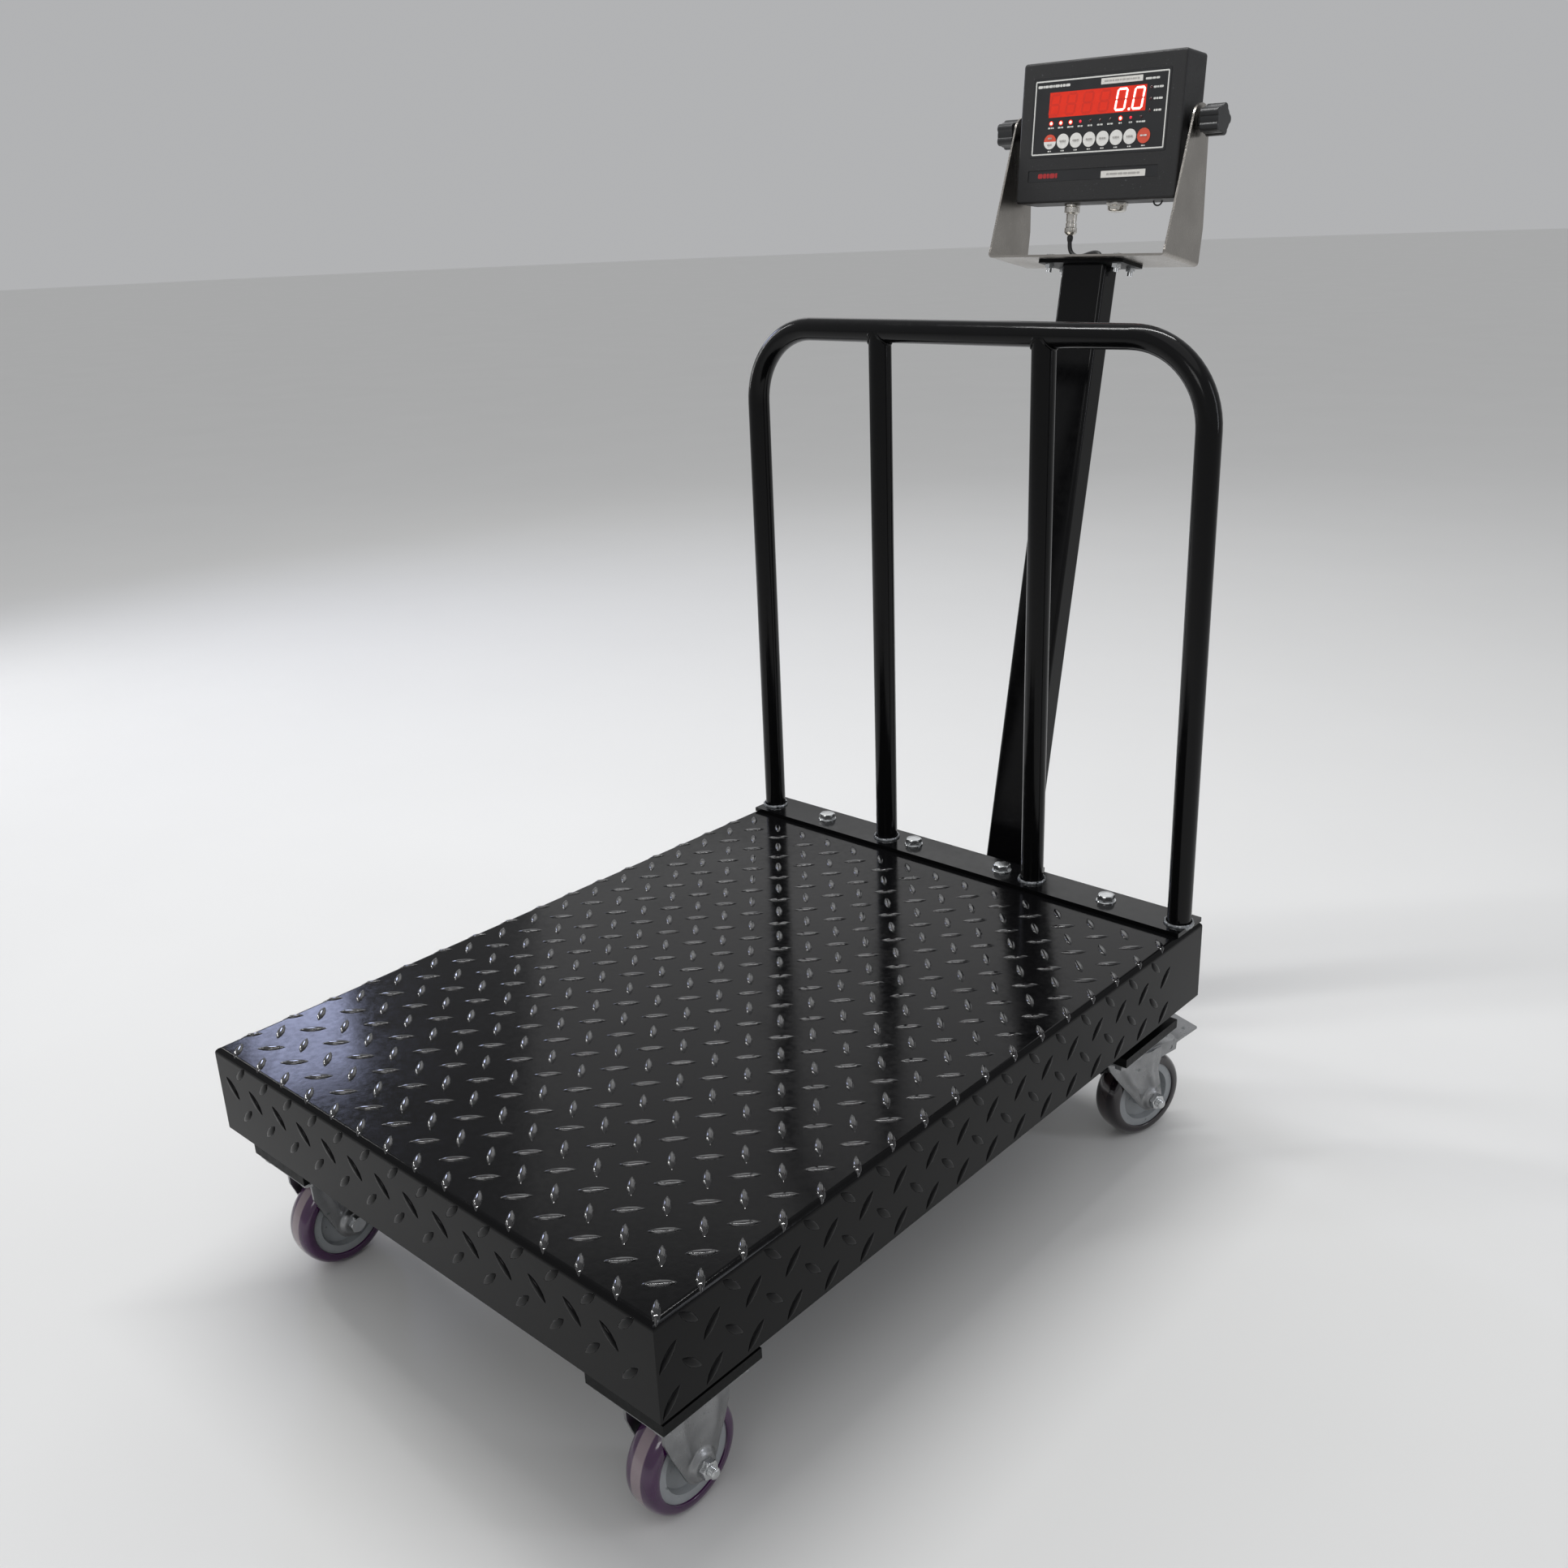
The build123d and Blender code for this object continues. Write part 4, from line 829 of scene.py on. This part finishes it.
class SCALE_OT_panel(Operator):
    """Prints the indicator's panel: border, captions, labels, display bars, lamps and key marks"""
    bl_idname = "scale_finish.panel"
    bl_label = "Indicator panel"

    def execute(self, context):
        panel = context.scene.scale_panel
        width, height, line = 169.5, 79.0, panel.line / MM
        centre_x, centre_v = -0.7, 11.4
        outer, inner = rounded(width, height, 1.6), rounded(width - 2 * line, height - 2 * line, 0.6)
        rows = [np.column_stack([ring, np.full(len(ring), level)])
                for ring, level in ((outer, -0.1), (outer, 0.08), (inner, 0.08), (inner, -0.1))]
        middle = on_face(centre_x, centre_v)
        prints = [skin(placed(np.array(rows) * MM, middle, (1, 0, 0), FACE_UP, OUTWARD), True)]
        lamp_x = [FIRST_PLACE + LAMP_PITCH * k for k in range(10)]
        for k, x in enumerate(lamp_x):
            prints += dashes(x, LAMP_CAPTIONS, LAMP_CAPTION_WIDTHS[k], 1.7, 3 if k != 7 else 2)
        for x, v, w in ((72, 34.4, 12), (72.5, 22.8, 11), (73, 10.9, 9), (64, 43.5, 17)):
            prints += dashes(x, v, w, 2.1, 3)
        prints += dashes(-61, 44.6, 42, 2.8, 9)
        for k in range(8):
            prints += dashes(FIRST_PLACE + KEY_PITCH * k, KEY_CAPTIONS, 4.5, 1.3, 2)
        make_piece("panel_print", prints, "indicator", finishes["ink"])

        film = face_plate(-4.4, FILM_ROW, rounded(166.8, 11.8, 0.9), 0.2, -0.98)
        make_piece("lower_film", [film], "indicator", finishes["film"])
        labels = [face_plate(*UPPER_LABEL, rounded(52, 6.2, 0.5), 0.12),
                  face_plate(*LOWER_LABEL, rounded(56, 7.2, 0.5), 0.2, -0.9)]
        make_piece("paper_labels", labels, "indicator", finishes["label"])
        marks = lifted(dashes(*UPPER_LABEL, 44, 1.9, 10), 0.1)
        marks += lifted(dashes(*LOWER_LABEL, 42, 2.2, 6), -0.72)
        make_piece("label_print", marks, "indicator", finishes["grey_ink"])
        badge = lifted(dashes(-62.0, FILM_ROW, 26, 5.2, 5), -0.72)
        make_piece("red_dashes", badge, "indicator", finishes["red_ink"])

        # six seven-bar places: the two at the right show nought and nought, with the point between them
        digit, slant = panel.digit / MM, panel.slant
        dark, lit, halo = [], [], []
        for k in range(6):
            size = (LAST_DIGIT - DIGIT_PITCH * k, DIGIT_ROW, DIGIT_WIDTH, digit, slant)
            on = "abcdef" if k < 2 else ""
            off = [name for name in "abcdefg" if name not in on]
            # the unlit bars carry a painted red glow though they are off
            dark += [face_plate(0, 0, outline, 0.04) for outline in digit_bars(*size, 2.6, off)]
            lit += [face_plate(0, 0, outline, 0.16) for outline in digit_bars(*size, 2.3, on)]
            # painted glow: a wider red strip under each lit bar stands in for the light round it
            halo += [face_plate(0, 0, outline, 0.08) for outline in digit_bars(*size, 3.8, on)]
        point = rounded(2.8, 2.8, 1.35) + [37.6, DIGIT_ROW - digit / 2]
        lit.append(face_plate(0, 0, point, 0.16))
        make_piece("unlit_bars", dark, "indicator", finishes["unlit"])
        make_piece("display_halo", halo, "indicator", finishes["halo"])
        make_piece("lit_bars", lit, "indicator", finishes["lit"])

        lens = [(-0.3, 1.5), (0.2, 1.5), (0.55, 1.1), (0.75, 0.5)]
        glow = [(-0.1, 2.5), (0.08, 2.5), (0.1, 1.4)]
        groups = {"lamp_on": (0, 1, 2, 7), "lamp_red": (3, 8), "lamp_off": (4, 5, 6, 9)}
        for finish, places in groups.items():
            shapes = [turned(lens, on_face(lamp_x[k], LAMP_ROW), OUTWARD, 20) for k in places]
            if finish == "lamp_off":
                shapes += [turned(lens, on_face(SIDE_LAMPS, v), OUTWARD, 20) for v in SIDE_LAMP_ROWS]
            name = finish.replace("lamp_", "status_lamps_")
            make_piece(name, shapes, "indicator", finishes[finish])
        # painted glow: a red ring round each lit lamp stands in for the light spilling from it
        rings = [turned(glow, on_face(lamp_x[k], LAMP_ROW), OUTWARD, 24) for k in groups["lamp_on"]]
        make_piece("lamp_glow", rings, "indicator", finishes["lamp_glow"])

        for k in range(8):
            x = FIRST_PLACE + KEY_PITCH * k
            cap = 0.9                               # how far a key stands out of the panel
            rows = ((3.6, 5.0, 2), (-3.2, 6.0, 2)) if k == 0 else ((0.2, 8.0, 3),)
            shapes = []
            for shift, wide, count in rows:
                shapes += lifted(dashes(x, KEY_ROW + shift, wide, 1.8, count), cap)
            finish = finishes["ink"] if k == 7 else finishes["grey_ink"]
            make_piece(f"key_{k + 1}_mark", shapes, f"key_{k + 1}", finish)
        return {"FINISHED"}


class SCALE_OT_connectors(Operator):
    """Makes the plug, its socket, the spare gland and the seal loop under the indicator"""
    bl_idname = "scale_finish.connectors"
    bl_label = "Connectors"

    def execute(self, context):
        down = -FACE_UP
        base = PIVOT - FACE_UP * 80 * MM            # the case's underside, below the pivot
        socket, gland, loop_spot = (base + Vector((x * MM, 0, 0)) for x in (-39, 20, 71))
        plug = [(3.0, 6.4), (3.0, 8.0), (3.6, 8.4, 0.35), (9.5, 8.4, 0.35), (10.2, 8.0), (10.8, 6.6),
                (13.0, 6.2), (19.0, 6.2), (19.4, 5.7), (20.6, 5.7), (21.0, 6.4), (25.5, 6.4),
                (26.2, 6.9, 0.3), (31.0, 6.9, 0.3), (32.6, 6.2), (34.4, 4.4), (35.0, 3.3), (35.0, 2.4)]
        plug = [row if len(row) == 3 else (*row, 0.0) for row in plug]
        plug_shape = turned(plug, socket, down, 96, teeth=32)
        plug_piece = make_piece("signal_plug", [plug_shape], "indicator", finishes["nickel"], 30)
        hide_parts("cable_plug")
        boot = [(34.0, 3.1), (36.2, 3.3), (36.8, 3.6), (38.6, 3.4), (40.4, 3.0), (41.4, 2.75), (41.5, 2.2)]
        boot_shape = turned(boot, socket, down, 32)
        make_piece("plug_boot", [boot_shape], "indicator", finishes["rubber"])

        ring = [(-0.2, 8.2), (0.4, 9.2), (2.6, 9.2), (3.0, 8.8), (3.05, 6.5)]
        shapes = [turned(ring, socket, down), hexagon(22, 4.0, gland, down)]
        cap = [(3.8, 10.2, 0), (4.2, 10.4, 0.3), (8.0, 10.2, 0.3),
               (9.6, 9.4, 0), (10.6, 7.6, 0), (10.8, 5.0, 0)]
        shapes.append(turned(cap, gland, down, 96, teeth=28))
        for spot in (socket, gland):
            shapes.append(turned([(-7.5, 6.9), (-0.1, 6.9)], spot, down, 32))
        piece = make_piece("connector_sockets", shapes, "indicator", finishes["nickel"], 30)
        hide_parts("panel_sockets")

        # seal loop: a half ring of 1.6 mm wire about a point on the case's underside
        angle = np.linspace(-0.15, np.pi + 0.15, 26)[:, None]
        section = circle(10)[None, :]
        reach = 5.2 + 0.9 * np.cos(section)
        flat = np.stack([reach * np.cos(angle), -reach * np.sin(angle) * 0.95,
                         0.9 * np.sin(section) + 0 * angle], -1)
        loop = skin(placed(flat * MM, loop_spot, (1, 0, 0), FACE_UP, OUTWARD))
        make_piece("seal_loop", [loop], "indicator", finishes["rubber"], 80)
        return {"FINISHED"}


CABLE_ROUTE = [
    (-39.0, 657.4, 937.7),
    (-39.2, 656.4, 928.6),
    (-35.2, 655.1, 920.8),
    (-27.2, 653.2, 917.2),
    (-17.6, 650.9, 917.6),
    (-8.2, 648.9, 920.2),
    (0.2, 646.9, 921.8),
    (7.0, 645.2, 921.2),
    (11.6, 643.4, 917.0),
    (14.2, 641.6, 910.6),
    (15.6, 639.6, 903.0),
    (16.2, 637.2, 893.8),
]


def nurbs_line(name, points, radius, resolution):
    """A smooth open NURBS curve with those control points, bevelled round when the radius isn't nought."""
    curve = bpy.data.curves.new(name, "CURVE")
    curve.dimensions = "3D"
    curve.bevel_depth = radius
    curve.resolution_u = resolution
    curve.use_fill_caps = True
    spline = curve.splines.new("NURBS")
    spline.points.add(len(points) - 1)
    spline.points.foreach_set("co", np.column_stack([points, np.ones(len(points))]).ravel())
    spline.order_u = 3
    spline.use_endpoint_u = True
    return bpy.data.objects.new(name, curve)


class SCALE_OT_cable(Operator):
    """Lays the signal cable from the plug down through the bracket's grommet"""
    bl_idname = "scale_finish.cable"
    bl_label = "Signal cable"

    def execute(self, context):
        cable = context.scene.scale_cable
        route = np.array(CABLE_ROUTE) * MM + np.array([0, DECK_MIDDLE.y, 0])
        line = nurbs_line("cable_line", route, 0, 16)
        mesh = bpy.data.meshes.new_from_object(line)
        path = np.array([vertex.co for vertex in mesh.vertices])
        bpy.data.meshes.remove(mesh)
        bpy.data.objects.remove(line)

        # rings square to the line, carried along it with the X direction as their guide
        tangent = np.gradient(path, axis=0)
        tangent /= np.linalg.norm(tangent, axis=1)[:, None]
        side = np.cross(tangent, [0.0, 1.0, 0.0])
        side /= np.linalg.norm(side, axis=1)[:, None]
        other = np.cross(tangent, side)
        angle = circle(20)[None, :, None]
        spoke = side[:, None] * np.cos(angle) + other[:, None] * np.sin(angle)
        rings = path[:, None] + cable.diameter / 2 * spoke
        tube = make_piece("signal_cable_sheath", [skin(rings)], None, finishes["rubber"], 80)
        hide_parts("signal_cable")
        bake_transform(tube)
        return {"FINISHED"}


class SCALE_OT_cad_finishes(Operator):
    """Gives every part of the frame its finish"""
    bl_idname = "scale_finish.cad_finishes"
    bl_label = "Finishes"

    def execute(self, context):
        make_finishes(context.scene.scale_colours)
        slots = {part["node"]: part["material_slot"] for part in frame["record"]["subparts"]}
        for name, node in frame["nodes"].items():
            finish = finishes[NODE_FINISH.get(name, SLOT_FINISH[slots[name]])]
            for place in node.material_slots:
                place.material = finish
        return {"FINISHED"}


# ---------------------------------------------------------------- stage
def area_light(name, place, target, size, power, tint, turn=0.0):
    """A soft rectangular light that looks at a point, turned about its own line of sight."""
    light = bpy.data.lights.new(name, "AREA")
    light.shape = "RECTANGLE"
    light.size, light.size_y = size
    light.energy = power
    light.color = linear(tint)[:3]
    lamp_object = bpy.data.objects.new(name, light)
    lamp_object.location = place
    aim = (Vector(target) - Vector(place)).to_track_quat("-Z", "Y").to_matrix()
    lamp_object.rotation_euler = (aim @ Matrix.Rotation(turn, 3, "Z")).to_euler()
    bpy.context.scene.collection.objects.link(lamp_object)


class SCALE_OT_stage(Operator):
    """Lays the pale floor, sets the soft lights and places the camera"""
    bl_idname = "scale_finish.stage"
    bl_label = "Stage"

    def execute(self, context):
        stage = context.scene.scale_stage
        # the floor is a disc: rings of radius R s^3, level at the wheels' feet
        spread = np.linspace(0.02, 1, 24)[:, None] ** 3 * stage.floor
        angle = circle(64)[None, :]
        top = np.stack([spread * np.cos(angle), spread * np.sin(angle), 0 * spread * angle], -1)
        under = top[::-1] - [0, 0, 0.02]
        disc = skin(np.concatenate([top, under]))
        make_piece("floor", [disc], None, finishes["paper"], 80)

        scene = context.scene
        scene.view_settings.view_transform = "Standard"
        world = bpy.data.worlds.new("soft_room")
        world.use_nodes = True
        tree = world.node_tree
        room = tree.nodes["Background"]
        room.inputs["Color"].default_value = linear("#f2f3f5")
        room.inputs["Strength"].default_value = 0.5
        scene.world = world

        sun = bpy.data.lights.new("even_light", "SUN")
        sun.energy = 0.45
        sun.angle = math.radians(60)
        even = bpy.data.objects.new("even_light", sun)
        even.rotation_euler = (math.radians(16), math.radians(12), 0)
        scene.collection.objects.link(even)
        middle = (0, 0, 0.4)
        area_light("front_softbox", (0.9, -2.6, 1.9), middle, (0.9, 0.6), 6, "#ffffff")
        area_light("back_panel", (-2.0, 2.6, 2.3), middle, (2.6, 1.6), 9, "#ffffff")
        area_light("left_window", (-3.0, 0.9, 1.7), middle, (0.3, 0.6), 7, "#cdd6ff")
        area_light("left_tube", (-2.9, -0.2, 1.6), middle, (0.08, 2.0), 16, "#ffffff")
        area_light("right_softbox", (2.4, 1.0, 1.4), middle, (0.25, 1.6), 7, "#f3f6ff")
        above, below = (-0.4, 0.2, 2.8), (-0.4, 0.2, 0)
        area_light("overhead_tube", above, below, (2.4, 0.09), 44, "#ffffff", math.pi / 4)

        camera = bpy.data.cameras.new("camera")
        camera.sensor_width = 36.0
        camera.lens = stage.lens
        camera.dof.use_dof = False
        viewer = bpy.data.objects.new("camera", camera)
        place = Vector((0.9640, DECK_MIDDLE.y - 0.9636, DECK_HIGH.z + 0.7261))
        axes = Matrix(((0.7446, -0.2098, 0.6338), (0.6665, 0.2867, -0.6882), (-0.0373, 0.9348, 0.3533)))
        viewer.matrix_world = Matrix.Translation(place) @ axes.to_4x4()
        scene.collection.objects.link(viewer)
        scene.camera = viewer
        return {"FINISHED"}


OPERATORS = (
    SCALE_OT_cad_finishes, SCALE_OT_tread_lugs, SCALE_OT_rail_details, SCALE_OT_casters,
    SCALE_OT_panel, SCALE_OT_connectors, SCALE_OT_cable, SCALE_OT_stage,
)
SETTINGS = {
    "scale_colours": FinishSettings, "scale_tread": TreadSettings, "scale_caster": CasterSettings,
    "scale_panel": PanelSettings, "scale_cable": CableSettings, "scale_stage": StageSettings,
}


class SCALE_PT_finish(Panel):
    """Shows the scale's settings and a button for each of its steps"""
    bl_idname = "SCALE_PT_finish"
    bl_label = "Platform scale"
    bl_space_type = "VIEW_3D"
    bl_region_type = "UI"
    bl_category = "Scale"

    def draw(self, context):
        for name, group in SETTINGS.items():
            box = self.layout.box()
            for key in group.__annotations__:
                box.prop(getattr(context.scene, name), key)
        for operator in OPERATORS:
            self.layout.operator(operator.bl_idname)


def register():
    for item in (*SETTINGS.values(), *OPERATORS, SCALE_PT_finish):
        bpy.utils.register_class(item)
    for name, group in SETTINGS.items():
        setattr(bpy.types.Scene, name, PointerProperty(type=group))


def unregister():
    for name in SETTINGS:
        delattr(bpy.types.Scene, name)
    for item in reversed((*SETTINGS.values(), *OPERATORS, SCALE_PT_finish)):
        bpy.utils.unregister_class(item)


def main():
    register()
    for operator in OPERATORS:
        group, name = operator.bl_idname.split(".")
        getattr(getattr(bpy.ops, group), name)()


if __name__ == "__main__":
    main()
